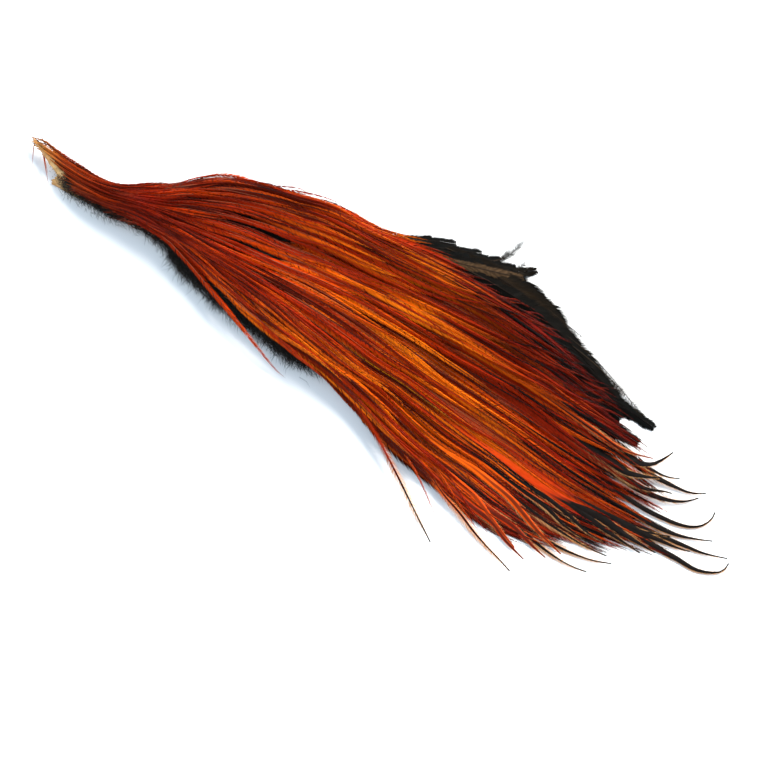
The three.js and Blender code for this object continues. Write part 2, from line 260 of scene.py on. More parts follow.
def heightAt(field, x, y):
    u = (np.asarray(x) - ground["low"][0]) / ground["cell"] - 0.5
    v = (np.asarray(y) - ground["low"][1]) / ground["cell"] - 0.5
    return lookUp(field, u, v)


nodes = sorted(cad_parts)
hackleNodes = [name for name in nodes if name.startswith("hackle")]
shoulderNodes = [name for name in nodes if name.startswith("shoulder")]
hideTop = softened(topOf(["hide"]), 2)
downTop = softened(topOf(["hide", "down"]), 3)
shoulderTop = softened(topOf(["hide", "down", *shoulderNodes]), 3)
coatTop = softened(topOf(nodes), 3)
print("heights read from the frame, coat up to", round(float(coatTop.max()), 1), "mm")


# Feathers and hairs are gathered in a store, and each store becomes one mesh. Every point has its
# place on the vane (from root to tip, and across from edge to edge), its marks (tone, zone along
# the cape, shade, which is a deep red on the hackles and painted sheen on the shoulder feathers,
# stripe) and its traits (shaft or barb, webbed or not, a value of each barb)
def newStore():
    lists = {name: [] for name in ("points", "faces", "vane", "marks", "traits", "row")}
    return {**lists, "total": 0, "feathers": 0}


def put(store, points, faces, vane, marks, traits):
    store["points"].append(points)
    store["faces"].append(faces + store["total"])
    store["vane"].append(vane)
    store["marks"].append(marks)
    store["traits"].append(traits)
    store["row"].append(np.full(len(points), store["feathers"]))
    store["total"] += len(points)


def frameAlong(path, roll):
    tangent = np.gradient(path, axis=0)
    tangent /= np.maximum(np.linalg.norm(tangent, axis=1, keepdims=True), 1e-9)
    left = np.stack([-tangent[:, 1], tangent[:, 0], np.zeros(len(path))], 1)
    left /= np.maximum(np.linalg.norm(left, axis=1, keepdims=True), 1e-9)
    up = np.cross(tangent, left)
    turn = np.radians(roll)
    return left * math.cos(turn) + up * math.sin(turn), up * math.cos(turn) - left * math.sin(turn)


def traitsOf(count, shaft, web, own):
    return np.stack([np.full(count, float(shaft)), np.full(count, float(web)), own + np.zeros(count)], 1)


def layShaft(store, path, radius, marksAt, count, web=0.0):
    # A three-sided tapered quill along a path
    run = runOf(path)
    stations = run / run[-1]
    left, up = frameAlong(path, 0)
    s = np.linspace(0, 1, count)
    at = interpolate(s, stations, path)
    corners = np.radians([90, 210, 330])
    side = interpolate(s, stations, left)[:, None] * np.cos(corners)[None, :, None]
    rise = interpolate(s, stations, up)[:, None] * np.sin(corners)[None, :, None] * 1.2
    thick = radius * (0.12 + 0.88 * (1 - s) ** 0.8)
    ring = at[:, None] + (side + rise) * thick[:, None, None]
    i = np.arange(count - 1)[:, None] * 3
    j = np.arange(3)[None, :]
    k = (j + 1) % 3
    sides = np.concatenate([np.stack([i + j, i + 3 + j, i + 3 + k], -1),
                            np.stack([i + j, i + 3 + k, i + k], -1)])
    s3 = np.repeat(s, 3)
    vane = np.stack([s3, np.full(len(s3), 0.5)], 1)
    put(store, ring.reshape(-1, 3), sides.reshape(-1, 3), vane, marksAt(s3), traitsOf(len(s3), 1, web, 0.5))


def layStrip(store, path, half, marksAt, count):
    # A plain strip of dense vane along a path, with a low ridge in the middle
    run = runOf(path)
    stations = run / run[-1]
    left, up = frameAlong(path, 0)
    s = np.linspace(0, 1, count)
    at = interpolate(s, stations, path)
    wide = half(s)[:, None]
    side = interpolate(s, stations, left) * wide
    ridge = interpolate(s, stations, up) * wide * 0.3
    rows = np.stack([at - side, at + ridge, at + side], 1)
    i = np.arange(count - 1)[:, None] * 3
    j = np.arange(2)[None, :]
    faces = np.concatenate([np.stack([i + j, i + 3 + j, i + 4 + j], -1),
                            np.stack([i + j, i + 4 + j, i + 1 + j], -1)])
    s3 = np.repeat(s, 3)
    vane = np.stack([s3, np.tile([0.3, 0.5, 0.7], count)], 1)
    put(store, rows.reshape(-1, 3), faces.reshape(-1, 3), vane, marksAt(s3), traitsOf(len(s3), 0, 0, 0.5))
    store["feathers"] += 1


def barbFaces(count, flip=False):
    # A barb is a strip of five points: two at its root, two on its way and its tip
    one = np.array([(0, 1, 3), (0, 3, 2), (2, 3, 4)])
    if flip:
        one = one[:, ::-1]
    return (np.arange(count)[:, None, None] * 5 + one[None]).reshape(-1, 3)


def layFeather(store, path, form, half, marksAt, roll, web=0.0):
    # One feather along a path: its shaft, and two rows of barbs that sweep forward from it, in
    # locks that part a little from one another. half(s) is half its width. In the form, slope is
    # how the vane falls away from the shaft, quill the bare share at the root, spacing and lock the
    # distances between barbs and between partings, angles those of the barbs at the root and at the
    # tip, and fill the width of a barb as a share of the spacing.
    run = runOf(path)
    length = run[-1]
    stations = run / length
    left, up = frameAlong(path, roll)
    widest = max(half(np.linspace(0, 1, 21)))
    slope = form["slope"]
    quill = form["quill"]

    def spot(s, d, lift):
        at = interpolate(s, stations, path)
        side = interpolate(s, stations, left)
        rise = interpolate(s, stations, up)
        return at + side * d[..., None] + rise * (lift - slope * np.abs(d))[..., None]

    layShaft(store, path, form["shaft"], marksAt, form["stations"], web)
    for side in (-1, 1):
        count = max(int((1 - quill) * length / form["spacing"]), 4)
        root = quill + (0.99 - quill) * (np.arange(count) + chance.random(count) * 0.7) / count
        lock = np.floor(root * length / form["lock"] + chance.random()).astype(int)
        own = chance.random((lock.max() + 1, 2))[lock]
        reach = half(root) * (1 - form["ragged"] * own[:, 0] + form["frayed"] * (chance.random(count) - 0.5))
        reach = np.maximum(reach, 0.12)
        angle = np.radians(mix(form["angles"][0], form["angles"][1], root))
        sweep = reach / np.tan(angle) / length * (1 + form["split"] * (own[:, 1] - 0.5))
        tip = np.minimum(root + sweep, 1)
        middle = mix(root, tip, 0.42)
        wide = 0.5 * form["fill"] * form["spacing"] / length
        lean = form["lean"] * (0.6 + 0.8 * chance.random(count))
        inner = np.full(count, form["shaft"] * 0.3)
        loose = form["loose"] * (chance.random(count) - 0.35)
        sAll = np.stack([root - wide, root + wide, middle - wide * 0.9, middle + wide * 0.9, tip], 1)
        dAll = np.stack([inner, inner, reach * 0.6, reach * 0.6, reach], 1)
        lift = np.stack([-lean, lean, -lean, lean, loose], 1)
        points = spot(sAll, side * dAll, lift).reshape(-1, 3)
        points[:, 2] = np.maximum(points[:, 2], 0.15)         # clear of the floor
        vane = np.stack([sAll.ravel(), 0.5 + 0.5 * side * (dAll / widest).ravel()], 1)
        traits = traitsOf(count * 5, 0, web, np.repeat(chance.random(count), 5))
        put(store, points, barbFaces(count, side < 0), vane, marksAt(sAll.ravel()), traits)
    store["feathers"] += 1


def makeMesh(name, points, faces):
    mesh = bpy.data.meshes.new(name)
    mesh.vertices.add(len(points))
    mesh.vertices.foreach_set("co", (points * mm).astype(np.float32).ravel())
    mesh.loops.add(len(faces) * 3)
    mesh.loops.foreach_set("vertex_index", faces.astype(np.int32).ravel())
    mesh.polygons.add(len(faces))
    mesh.polygons.foreach_set("loop_start", np.arange(len(faces), dtype=np.int32) * 3)
    mesh.polygons.foreach_set("loop_total", np.full(len(faces), 3, np.int32))
    mesh.polygons.foreach_set("use_smooth", np.ones(len(faces), bool))
    mesh.update(calc_edges=True)
    return mesh


def addUv(mesh, layer, faces, values):
    uv = mesh.uv_layers.new(name=layer)
    uv.data.foreach_set("uv", values[faces.ravel()].astype(np.float32).ravel())


def addColour(mesh, name, values):
    if values.shape[1] == 3:
        values = np.column_stack([values, np.ones(len(values))])
    attribute = mesh.attributes.new(name, "FLOAT_COLOR", "POINT")
    attribute.data.foreach_set("color", values.astype(np.float32).ravel())


def finishPiece(name, mesh, material, replaced):
    mesh.materials.append(material)
    piece = bpy.data.objects.new(name, mesh)
    bpy.context.collection.objects.link(piece)
    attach(piece, "root")
    if replaced:
        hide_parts(*replaced)
    print(name, "has", len(mesh.polygons), "triangles, in place of", len(replaced), "solids")


def makePiece(name, store, material, replaced):
    points = np.concatenate(store["points"])
    faces = np.concatenate(store["faces"])
    mesh = makeMesh(name, points, faces)
    vane = np.concatenate(store["vane"])
    row = np.concatenate(store["row"])
    lane = (row + 0.1 + 0.8 * vane[:, 1]) / (row.max() + 1)
    sheet = np.stack([0.01 + 0.98 * np.clip(vane[:, 0], 0, 1), lane], 1)
    addUv(mesh, "vane", faces, vane)
    addUv(mesh, "OFBake", faces, sheet)
    addColour(mesh, "marks", np.concatenate(store["marks"]))
    addColour(mesh, "traits", np.concatenate(store["traits"]))
    finishPiece(name, mesh, material, replaced)


# Shader groups, each built once and placed with its own values in the materials that use it
def newGroup(name, inputs, outputs):
    group = bpy.data.node_groups.new(name, "ShaderNodeTree")
    for label, kind, value in inputs:
        socket = group.interface.new_socket(label, in_out="INPUT", socket_type=kind)
        if value is not None:
            socket.default_value = value
    for label, kind in outputs:
        group.interface.new_socket(label, in_out="OUTPUT", socket_type=kind)
    return group, group.nodes.new("NodeGroupInput"), group.nodes.new("NodeGroupOutput")


def feed(tree, socket, value):
    if isinstance(value, (int, float)):
        socket.default_value = value
    elif isinstance(value, tuple):
        socket.default_value = (*value, 1)
    else:
        tree.links.new(value, socket)


def calc(tree, operation, a, b=None, clamp=False):
    node = tree.nodes.new("ShaderNodeMath")
    node.operation = operation
    node.use_clamp = clamp
    for socket, value in zip(node.inputs, (a, b)):
        if value is not None:
            feed(tree, socket, value)
    return node.outputs[0]


def ranged(tree, value, low, high, outLow=0.0, outHigh=1.0):
    node = tree.nodes.new("ShaderNodeMapRange")
    node.interpolation_type = "SMOOTHSTEP"
    feed(tree, node.inputs["Value"], value)
    for label, number in (("From Min", low), ("From Max", high), ("To Min", outLow), ("To Max", outHigh)):
        feed(tree, node.inputs[label], number)
    return node.outputs["Result"]


def blend(tree, amount, a, b):
    node = tree.nodes.new("ShaderNodeMix")
    node.data_type = "RGBA"
    for socket, value in ((node.inputs[0], amount), (node.inputs[6], a), (node.inputs[7], b)):
        feed(tree, socket, value)
    return node.outputs[2]


def rampOf(tree, value, stops):
    node = tree.nodes.new("ShaderNodeValToRGB")
    ramp = node.color_ramp
    while len(ramp.elements) < len(stops):
        ramp.elements.new(0.5)
    for element, (position, colour) in zip(ramp.elements, stops):
        element.position = position
        element.color = (*colour, 1)
    tree.links.new(value, node.inputs[0])
    return node.outputs[0]


def noiseOf(tree, vector, scale, detail=3.0):
    node = tree.nodes.new("ShaderNodeTexNoise")
    node.inputs["Scale"].default_value = scale
    node.inputs["Detail"].default_value = detail
    tree.links.new(vector, node.inputs["Vector"])
    return node.outputs[0]


def splitOf(tree, value, kind="ShaderNodeSeparateXYZ"):
    node = tree.nodes.new(kind)
    tree.links.new(value, node.inputs[0])
    return node.outputs


def attributeOf(tree, name):
    node = tree.nodes.new("ShaderNodeAttribute")
    node.attribute_name = name
    return node


def makeStreakGroup():
    # Fine lines that run with the barbs, different on every feather
    inputs = [("Vane", "NodeSocketVector", None), ("Tone", "NodeSocketFloat", 0.5),
              ("Lines", "NodeSocketFloat", 30.0)]
    group, given, result = newGroup("barbStreaks", inputs, [("Streak", "NodeSocketFloat")])
    s, across = splitOf(group, given.outputs["Vane"])[:2]
    fromShaft = calc(group, "ABSOLUTE", calc(group, "SUBTRACT", across, 0.5))
    swept = calc(group, "SUBTRACT", s, calc(group, "MULTIPLY", fromShaft, 0.12))
    spot = group.nodes.new("ShaderNodeCombineXYZ")
    feed(group, spot.inputs[0], calc(group, "MULTIPLY", swept, given.outputs["Lines"]))
    feed(group, spot.inputs[1], calc(group, "MULTIPLY", across, 4.0))
    feed(group, spot.inputs[2], calc(group, "MULTIPLY", given.outputs["Tone"], 90.0))
    group.links.new(ranged(group, noiseOf(group, spot.outputs[0], 1.0), 0.3, 0.7), result.inputs["Streak"])
    return group


def makeStripeGroup():
    # The dark line along the shaft, which widens from Start to the tip
    inputs = [("Vane", "NodeSocketVector", None), ("Amount", "NodeSocketFloat", 0.5),
              ("Start", "NodeSocketFloat", 0.3), ("Width", "NodeSocketFloat", 0.3)]
    group, given, result = newGroup("shaftStripe", inputs, [("Stripe", "NodeSocketFloat")])
    s, across = splitOf(group, given.outputs["Vane"])[:2]
    fromShaft = calc(group, "ABSOLUTE", calc(group, "SUBTRACT", across, 0.5))
    onset = ranged(group, s, given.outputs["Start"], 1.0)
    wide = calc(group, "MULTIPLY", given.outputs["Width"], onset)
    wide = calc(group, "MULTIPLY", wide, given.outputs["Amount"])
    inside = calc(group, "SUBTRACT", 1.0, ranged(group, fromShaft, wide, calc(group, "ADD", wide, 0.06)))
    strength = calc(group, "MULTIPLY", inside, calc(group, "MULTIPLY", onset, 4.0, clamp=True))
    amount = calc(group, "MULTIPLY", given.outputs["Amount"], 1.6, clamp=True)
    group.links.new(calc(group, "MULTIPLY", strength, amount), result.inputs["Stripe"])
    return group


streakGroup = makeStreakGroup()
stripeGroup = makeStripeGroup()


def newMaterial(name):
    material = bpy.data.materials.new(name)
    material.use_nodes = True
    tree = material.node_tree
    return material, tree, tree.nodes["Principled BSDF"]


def useGroup(tree, group, **values):
    node = tree.nodes.new("ShaderNodeGroup")
    node.node_tree = group
    for label, value in values.items():
        feed(tree, node.inputs[label], value)
    return node.outputs[0]


def bumpOf(tree, height, strength, distance):
    bump = tree.nodes.new("ShaderNodeBump")
    bump.inputs["Strength"].default_value = strength
    bump.inputs["Distance"].default_value = distance * mm
    tree.links.new(height, bump.inputs["Height"])
    return bump.outputs[0]


def makeFeatherMaterial(name, look):
    material, tree, shader = newMaterial(name)
    marks = attributeOf(tree, "marks")
    traits = attributeOf(tree, "traits")
    tone, zone, shade = splitOf(tree, marks.outputs["Color"], "ShaderNodeSeparateColor")[:3]
    shaft, web, own = splitOf(tree, traits.outputs["Color"], "ShaderNodeSeparateColor")[:3]
    uv = tree.nodes.new("ShaderNodeUVMap")
    uv.uv_map = "vane"
    vane = uv.outputs[0]
    s, across = splitOf(tree, vane)[:2]
    fromShaft = calc(tree, "ABSOLUTE", calc(tree, "SUBTRACT", across, 0.5))
    streak = useGroup(tree, streakGroup, Vane=vane, Tone=tone, Lines=look["lines"])
    stripe = useGroup(tree, stripeGroup, Vane=vane, Amount=marks.outputs["Alpha"], Start=look["stripeStart"],
                      Width=look["stripeWidth"])
    # The vane's colour, by place on the cape, from feather to feather and from barb to barb
    body = rampOf(tree, zone, look["body"])
    bright = rampOf(tree, zone, look["bright"])
    colour = blend(tree, ranged(tree, tone, 0.4, 0.95), body, bright)
    colour = blend(tree, ranged(tree, tone, 0.35, 0.08, 0.0, look["dull"]), colour, look["dark"])
    colour = blend(tree, ranged(tree, tone, 0.965, 0.985), colour, look["rare"])
    colour = blend(tree, calc(tree, "MULTIPLY", streak, look["streak"]), colour, look["streakColour"])
    colour = blend(tree, ranged(tree, own, 0.6, 1.0, 0.0, look["own"]), colour, look["streakColour"])
    colour = blend(tree, shade, colour, look["shade"])
    # Its edges: painted shade darkens them over most of the cape, where the vane folds down under its
    # neighbours, and at the tail they have light rims of their own colour
    edge = ranged(tree, fromShaft, 0.2, 0.5)
    foldShade = ranged(tree, zone, *look["foldEnd"], look["foldShade"], 0.0)
    colour = blend(tree, calc(tree, "MULTIPLY", edge, foldShade), colour, look["foldShadeColour"])
    rim = ranged(tree, zone, *look["foldEnd"], 0.0, look["rim"])
    colour = blend(tree, calc(tree, "MULTIPLY", edge, rim), colour, look["rimColour"])
    # The thin web of the loose tips, the dark line, the fluff at the root and the shaft
    thin = calc(tree, "MULTIPLY", web, ranged(tree, s, look["webStart"], 0.86))
    colour = blend(tree, thin, colour, look["web"])
    colour = blend(tree, stripe, colour, look["stripe"])
    fluff = calc(tree, "MULTIPLY", ranged(tree, s, look["fluff"], 0.0), ranged(tree, zone, 0.12, 0.25))
    colour = blend(tree, fluff, colour, look["stripe"])
    shaftColour = blend(tree, ranged(tree, s, *look["shaftDark"]), look["shaftRoot"], look["shaftTip"])
    bare = calc(tree, "MULTIPLY", shaft, ranged(tree, zone, 0.05, 0.35, 0.2, 1.0))
    colour = blend(tree, calc(tree, "MULTIPLY", bare, look["shaftAmount"]), colour, shaftColour)
    tree.links.new(colour, shader.inputs["Base Color"])
    tree.links.new(ranged(tree, streak, 0.0, 1.0, *look["rough"]), shader.inputs["Roughness"])
    tree.links.new(calc(tree, "MULTIPLY", bare, look["gloss"]), shader.inputs["Coat Weight"])
    shader.inputs["Coat Roughness"].default_value = 0.25
    shader.inputs["Specular IOR Level"].default_value = look["specular"]
    tree.links.new(bumpOf(tree, streak, look["bump"], 0.1), shader.inputs["Normal"])
    return material


# Colours of the plain and of the bright hackles from the nape to the tips, and what lies over them
hackleLook = {
    "body": [(0.0, (0.42, 0.14, 0.02)), (0.05, (0.16, 0.014, 0.001)), (0.18, (0.16, 0.005, 0.0005)),
             (0.34, (0.42, 0.02, 0.001)), (0.58, (0.42, 0.026, 0.001)), (0.8, (0.34, 0.014, 0.001)),
             (1.0, (0.12, 0.004, 0.001))],
    "bright": [(0.0, (0.7, 0.32, 0.06)), (0.05, (0.4, 0.05, 0.003)), (0.18, (0.48, 0.022, 0.0008)),
               (0.34, (0.82, 0.08, 0.002)), (0.58, (1.0, 0.2, 0.003)), (0.82, (0.72, 0.085, 0.002)),
               (1.0, (0.3, 0.025, 0.002))],
    "dark": (0.05, 0.004, 0.0006),            # of the darkest feathers
    "rare": (0.85, 0.26, 0.008),
    "dull": 0.9,                              # how far they go to the dark colour
    "lines": 46.0,                            # streaks along a feather
    "streak": 0.22,
    "streakColour": (0.1, 0.004, 0.0005),
    "own": 0.25,                              # how far single barbs go to the streaks' colour
    "shade": (0.12, 0.0035, 0.001),           # over the shoulder feathers
    "foldEnd": (0.72, 0.9),                   # along the cape, from edges with painted shade to light rims
    # painted shade on the folded edges of the vanes: its amount and its colour
    "foldShade": 0.85,
    "foldShadeColour": (0.022, 0.003, 0.001),
    "rim": 0.5,
    "rimColour": (0.6, 0.11, 0.01),
    "web": (0.6, 0.29, 0.11),
    "webStart": 0.66,
    "stripe": (0.005, 0.0035, 0.003),
    "stripeStart": 0.4,
    "stripeWidth": 0.2,
    "fluff": 0.22,                            # dark share at the root, but not at the nape
    "shaftRoot": (0.4, 0.1, 0.04),
    "shaftTip": (0.008, 0.005, 0.004),
    "shaftDark": (0.42, 0.62),                # where the shaft turns dark
    "shaftAmount": 0.75,
    "gloss": 0.5,
    "rough": (0.45, 0.65),
    "specular": 0.03,
    "bump": 0.4,
}
shoulderLook = {
    **hackleLook,
    "body": [(0.0, (0.004, 0.0026, 0.0014)), (1.0, (0.003, 0.002, 0.001))],
    "bright": [(0.0, (0.014, 0.008, 0.0035)), (1.0, (0.012, 0.007, 0.003))],
    "dark": (0.002, 0.0016, 0.001),
    "rare": (0.06, 0.034, 0.016),
    "streak": 0.5,
    "streakColour": (0.003, 0.002, 0.0015),
    "own": 0.3,
    # shade: a bluish black, painted sheen that some shoulder feathers take at random
    "shade": (0.002, 0.003, 0.003),
    "foldShade": 0.0,
    "rim": 0.0,
    "web": (0.05, 0.038, 0.028),
    "webStart": 0.2,
    "shaftRoot": (0.06, 0.04, 0.026),
    "shaftTip": (0.012, 0.008, 0.006),
    "gloss": 0.05,
    "specular": 0.025,
}
downLook = {
    "dark": (0.008, 0.007, 0.006),
    "light": (0.035, 0.028, 0.022),
    "tip": (0.11, 0.095, 0.08),
    # painted shade of hollows in the down
    "hollow": (0.006, 0.005, 0.005),
    "mottleScale": 260.0,
    "roughness": 0.95,
    "specular": 0.1,
}


def makeDownMaterial():
    material, tree, shader = newMaterial("dark_down")
    marks = attributeOf(tree, "marks")
    tone, tip = splitOf(tree, marks.outputs["Color"], "ShaderNodeSeparateColor")[:2]
    coordinates = tree.nodes.new("ShaderNodeTexCoord").outputs["Object"]
    mottle = noiseOf(tree, coordinates, downLook["mottleScale"])
    colour = blend(tree, ranged(tree, tone, 0.5, 1.0), downLook["dark"], downLook["light"])
    colour = blend(tree, ranged(tree, tip, 0.4, 1.0, 0.0, 0.6), colour, downLook["tip"])
    # patches of noise darkened as painted shade of hollows
    colour = blend(tree, ranged(tree, mottle, 0.5, 0.75, 0.0, 0.6), colour, downLook["hollow"])
    tree.links.new(colour, shader.inputs["Base Color"])
    shader.inputs["Roughness"].default_value = downLook["roughness"]
    shader.inputs["Specular IOR Level"].default_value = downLook["specular"]
    return material


skinLook = {
    "pale": (0.62, 0.36, 0.13),
    "tan": (0.48, 0.22, 0.06),
    "blotchScale": 70.0,
    "wrinkle": (0.3, 0.13, 0.04),
    "wrinkleScale": 420.0,
    "pit": (0.2, 0.08, 0.03),         # the feathers' follicles
    "pitScale": 330.0,
    "rough": (0.42, 0.68),
    "relief": 0.6,
    "bump": 0.8,
    "depth": 0.4,                     # of the relief, in millimetres
}


def makeSkinMaterial():
    material, tree, shader = newMaterial("dried_skin")
    coordinates = tree.nodes.new("ShaderNodeTexCoord").outputs["Object"]
    blotch = noiseOf(tree, coordinates, skinLook["blotchScale"], 4.0)
    wrinkle = noiseOf(tree, coordinates, skinLook["wrinkleScale"], 5.0)
    pits = tree.nodes.new("ShaderNodeTexVoronoi")
    pits.inputs["Scale"].default_value = skinLook["pitScale"]
    tree.links.new(coordinates, pits.inputs["Vector"])
    pit = ranged(tree, pits.outputs["Distance"], 0.12, 0.35)
    colour = blend(tree, ranged(tree, blotch, 0.35, 0.65), skinLook["pale"], skinLook["tan"])
    colour = blend(tree, ranged(tree, wrinkle, 0.45, 0.75, 0.0, 0.5), colour, skinLook["wrinkle"])
    colour = blend(tree, ranged(tree, pit, 0.6, 0.0, 0.0, 0.7), colour, skinLook["pit"])
    tree.links.new(colour, shader.inputs["Base Color"])
    tree.links.new(ranged(tree, wrinkle, 0.3, 0.7, *skinLook["rough"]), shader.inputs["Roughness"])
    height = calc(tree, "ADD", calc(tree, "MULTIPLY", pit, skinLook["relief"]),
                  calc(tree, "MULTIPLY", wrinkle, skinLook["relief"]))
    tree.links.new(bumpOf(tree, height, skinLook["bump"], skinLook["depth"]), shader.inputs["Normal"])
    return material


hackleFinish = makeFeatherMaterial("glossy_hackle", hackleLook)
shoulderFinish = makeFeatherMaterial("black_shoulder_vane", shoulderLook)
downFinish = makeDownMaterial()
skinFinish = makeSkinMaterial()
print("materials made:", hackleFinish.name, shoulderFinish.name, downFinish.name, skinFinish.name)

# Hackles
capeLength = 262                      # along the flow, in millimetres
hackle = {
    "count": 580,
    "roots": (0.02, 0.56),            # along the cape
    "crowding": 1.15,                 # over 1, more of them are rooted near the tail
    "lengths": (0.17, 0.49),          # shares of the cape's length, at the nape and at the tail
    "widths": (1.5, 3.1),
    "clumps": 19,                     # locks side by side on half the cape
    "pull": 0.3,                      # how far a feather is drawn into its lock
    "stations": 30,
    "stripedShare": 0.35,             # those with a strong dark line along the shaft
    "darkShare": 0.16,                # narrow ones that look like dark lines: partly dark feathers of their own, partly painted shade of the gaps between strands
    "rareShare": 0.006,               # narrow golden ones
    # Spans of chance: the tip's place across, the bend, the height in millimetres and the roll
    # in degrees
    "drift": 0.16,
    "bow": 0.1,
    "lift": 0.9,
    "roll": 40,
    "form": {"slope": 0.7, "stations": 20, "shaft": 0.19, "quill": 0.05, "spacing": 0.9, "lock": 7,
             "ragged": 0.12, "frayed": 0.14, "angles": (34, 14), "split": 0.4, "fill": 1.0, "lean": 0.04,
             "loose": 0.1},
}
tail = {
    "count": 244,
    "spread": (1.75, -0.95),          # across: how much of the cape they take up, and from where
    "ends": 0.1,                      # how far before the coat's end their tips may lie
    "length": 0.36,
    "longer": 0.08,                   # how much longer they may be
    "broad": 1.25,                    # their width, beside the others
    "underCount": 40,                 # broad ones below, their dark colour painted shade that closes the gaps between the locks
    "underSpread": (1.8, -0.95),
    "underEnds": 0.05,
    "underLength": 0.3,
    "underWidth": 5.5,
    # their low tone gives them the dark colour, as painted shade in the gaps
    "underShadeTone": 0.12,
    "underSink": 2.5,
}
nape = {
    "count": 130,
    "roots": (-0.009, 0.035),         # where the first are rooted along the cape, at +Y and at -Y
    "rows": 0.13,                     # how far down the cape from there the last may be
    "length": 0.1,
    "longer": 0.1,                    # how much longer they may be
    "width": (1.0, 1.7),
    "stands": 2.8,                    # rise of the cut end at its +Y corner, in millimetres
    "standsTo": 0.08,                 # along, where the rise ends
}
webForm = {**hackle["form"], "slope": 0.1, "spacing": 0.5, "fill": 0.7, "angles": (30, 20), "shaft": 0.2,
           "ragged": 0.25, "frayed": 0.3}

# How the feathers lie in the pile, in millimetres
pile = {
    "underTop": 1.2,                  # the highest hackles lie this far under the top of the solids
    "coatLeast": 0.6,                 # least depth of the coat over the shoulder feathers
    "gap": 0.2,                       # between the shoulder feathers and the lowest hackles
    "rootDepth": 0.3,                 # how deep the quills stand in the hide
    "overFloor": 0.6,
}

# How far the coat reaches across towards either edge, at places along the cape, and how far along
# its hackles end, at places across: the black shoulder feathers show beyond them at +Y
coatReach = {
    "near": ([0, 0.05, 0.1, 0.23, 0.29, 0.37, 0.47, 0.55, 0.6, 0.7, 0.75, 0.9],
             [1.0, 0.8, 0.66, 0.62, 0.84, 1.0, 1.12, 1.08, 0.88, 0.76, 0.66, 0.6]),
    "far": ([0, 0.02, 0.09, 0.15, 0.23, 0.3, 0.4, 1], [1.0, 1.15, 1.16, 1.0, 1.28, 1.26, 1.04, 1.0]),
    "ends": ([-1, -0.7, -0.35, 0, 0.3, 0.45, 0.65, 0.8, 0.88, 0.95, 1],
             [0.97, 0.95, 1.01, 0.99, 0.98, 0.96, 0.94, 0.86, 0.78, 0.65, 0.58]),
}


def spread(along, share):
    # A share of the way to the edge of the coat, as a place across
    near = np.interp(along, *coatReach["near"])
    far = np.interp(along, *coatReach["far"])
    return share * np.where(share < 0, near, far)


def hackleHalf(width):
    def half(s):
        s = np.clip(s, 0, 1)
        return np.maximum(0.5 * width * smooth(s, 0.03, 0.28) * (1 - s**2.2) ** 0.8, 0.12)
    return half


def stripHalf(width):
    def half(s):
        return np.maximum(0.5 * width * smooth(s, 0.05, 0.3) * (1 - smooth(s, 0.8, 1.06)), 0.22)
    return half


def napeRise(along, across):
    # The cut end of the nape stands off the floor at its +Y corner
    return nape["stands"] * smooth(across, -0.3, 1) * (1 - smooth(along, 0.0, nape["standsTo"]))


def lockOf(side, root):
    # The middle of the lock that a feather joins, at a place across the cape
    shift = 0.5 * math.sin(root * 31)
    return (np.round(side * hackle["clumps"] + shift) - shift) / hackle["clumps"]


def coatHeight(xy, t, along, side, lift):
    # A feather rises from the hide to the top of the coat on its way from root to tip
    x, y = xy[:, 0], xy[:, 1]
    under = heightAt(shoulderTop, x, y)
    top = np.maximum(heightAt(coatTop, x, y) - pile["underTop"], under + pile["coatLeast"])
    lowest = np.clip((along - hackle["roots"][1]) / hackle["lengths"][1], 0, 0.9)
    rank = np.clip((t - lowest) / (1 - lowest), 0, 1)
    z = mix(under + pile["gap"], top, mix(0.1, 1, rank ** 0.8))
    skin = heightAt(hideTop, x, y) - pile["rootDepth"]
    z = np.maximum(mix(skin, z + lift, smooth(t, 0, 0.16)), pile["overFloor"])
    for _ in range(2):
        z[1:-1] = (z[:-2] + 2 * z[1:-1] + z[2:]) / 4
    return z + napeRise(along, side)


def coatPath(root, end, share, width, drift, bow, lift, wiggle=0.3):
    # Down the cape with the flow, a little aside now and then, and into a lock with its neighbours
    t = np.linspace(0, 1, hackle["stations"])
    along = mix(root, end, t)
    side = share + drift * t + bow * np.sin(math.pi * t)
    outward = 0.3 * chance.random() * smooth(share, 0.2, 0.5)      # tips of the tail's +Y side
    side = side + outward * smooth(t, 0.75, 1.05) * smooth(end, 0.6, 0.8)
    side = side + hackle["pull"] * smooth(t, 0.1, 1) * (lockOf(side[-1], root) - side[-1])
    span = np.linalg.norm(place(along, -1) - place(along, 1), axis=1) / 2
    side = np.clip(side, -1.02, 1.02) * (1 - np.minimum(0.6, 0.5 * width / span))
    xy = place(along, spread(along, side))
    ahead = np.gradient(xy, axis=0)
    ahead /= np.linalg.norm(ahead, axis=1, keepdims=True)
    sway = wiggle * np.sin(t * (5 + 4 * chance.random()) + 6.3 * chance.random()) * smooth(t, 0, 0.3)
    xy = xy + np.stack([-ahead[:, 1], ahead[:, 0]], 1) * sway[:, None]
    return np.column_stack([xy, coatHeight(xy, t, along, side, lift)]), along, side


def fringePath(points, length, lift):
    # Down the cape with the flow to the first of the points, and then through them all
    along, across = spotOf(*points[0])
    lead = np.linspace(along - length, along, 12)
    edge = spread(lead, math.copysign(1.0, across))
    corners = np.concatenate([place(lead, edge * across / edge[-1])[:-1], points])
    fine = curveThrough(corners, np.linspace(0, len(corners) - 1, 120))
    run = runOf(fine)
    t = np.linspace(0, 1, 50)
    t = mix(t, 1 - (1 - t) ** 2, 0.6)           # closer together at the tip
    xy = interpolate(t, run / run[-1], fine)
    along = lead[0] + t * run[-1] / capeLength
    side = np.full(len(t), across)
    return np.column_stack([xy, coatHeight(xy, t, along, side, lift)]), along, side


# The hackles over the black shoulder feathers are a deep red
shaded = {"amount": 0.9, "across": (0.05, 0.55), "along": (0.5, 0.75)}

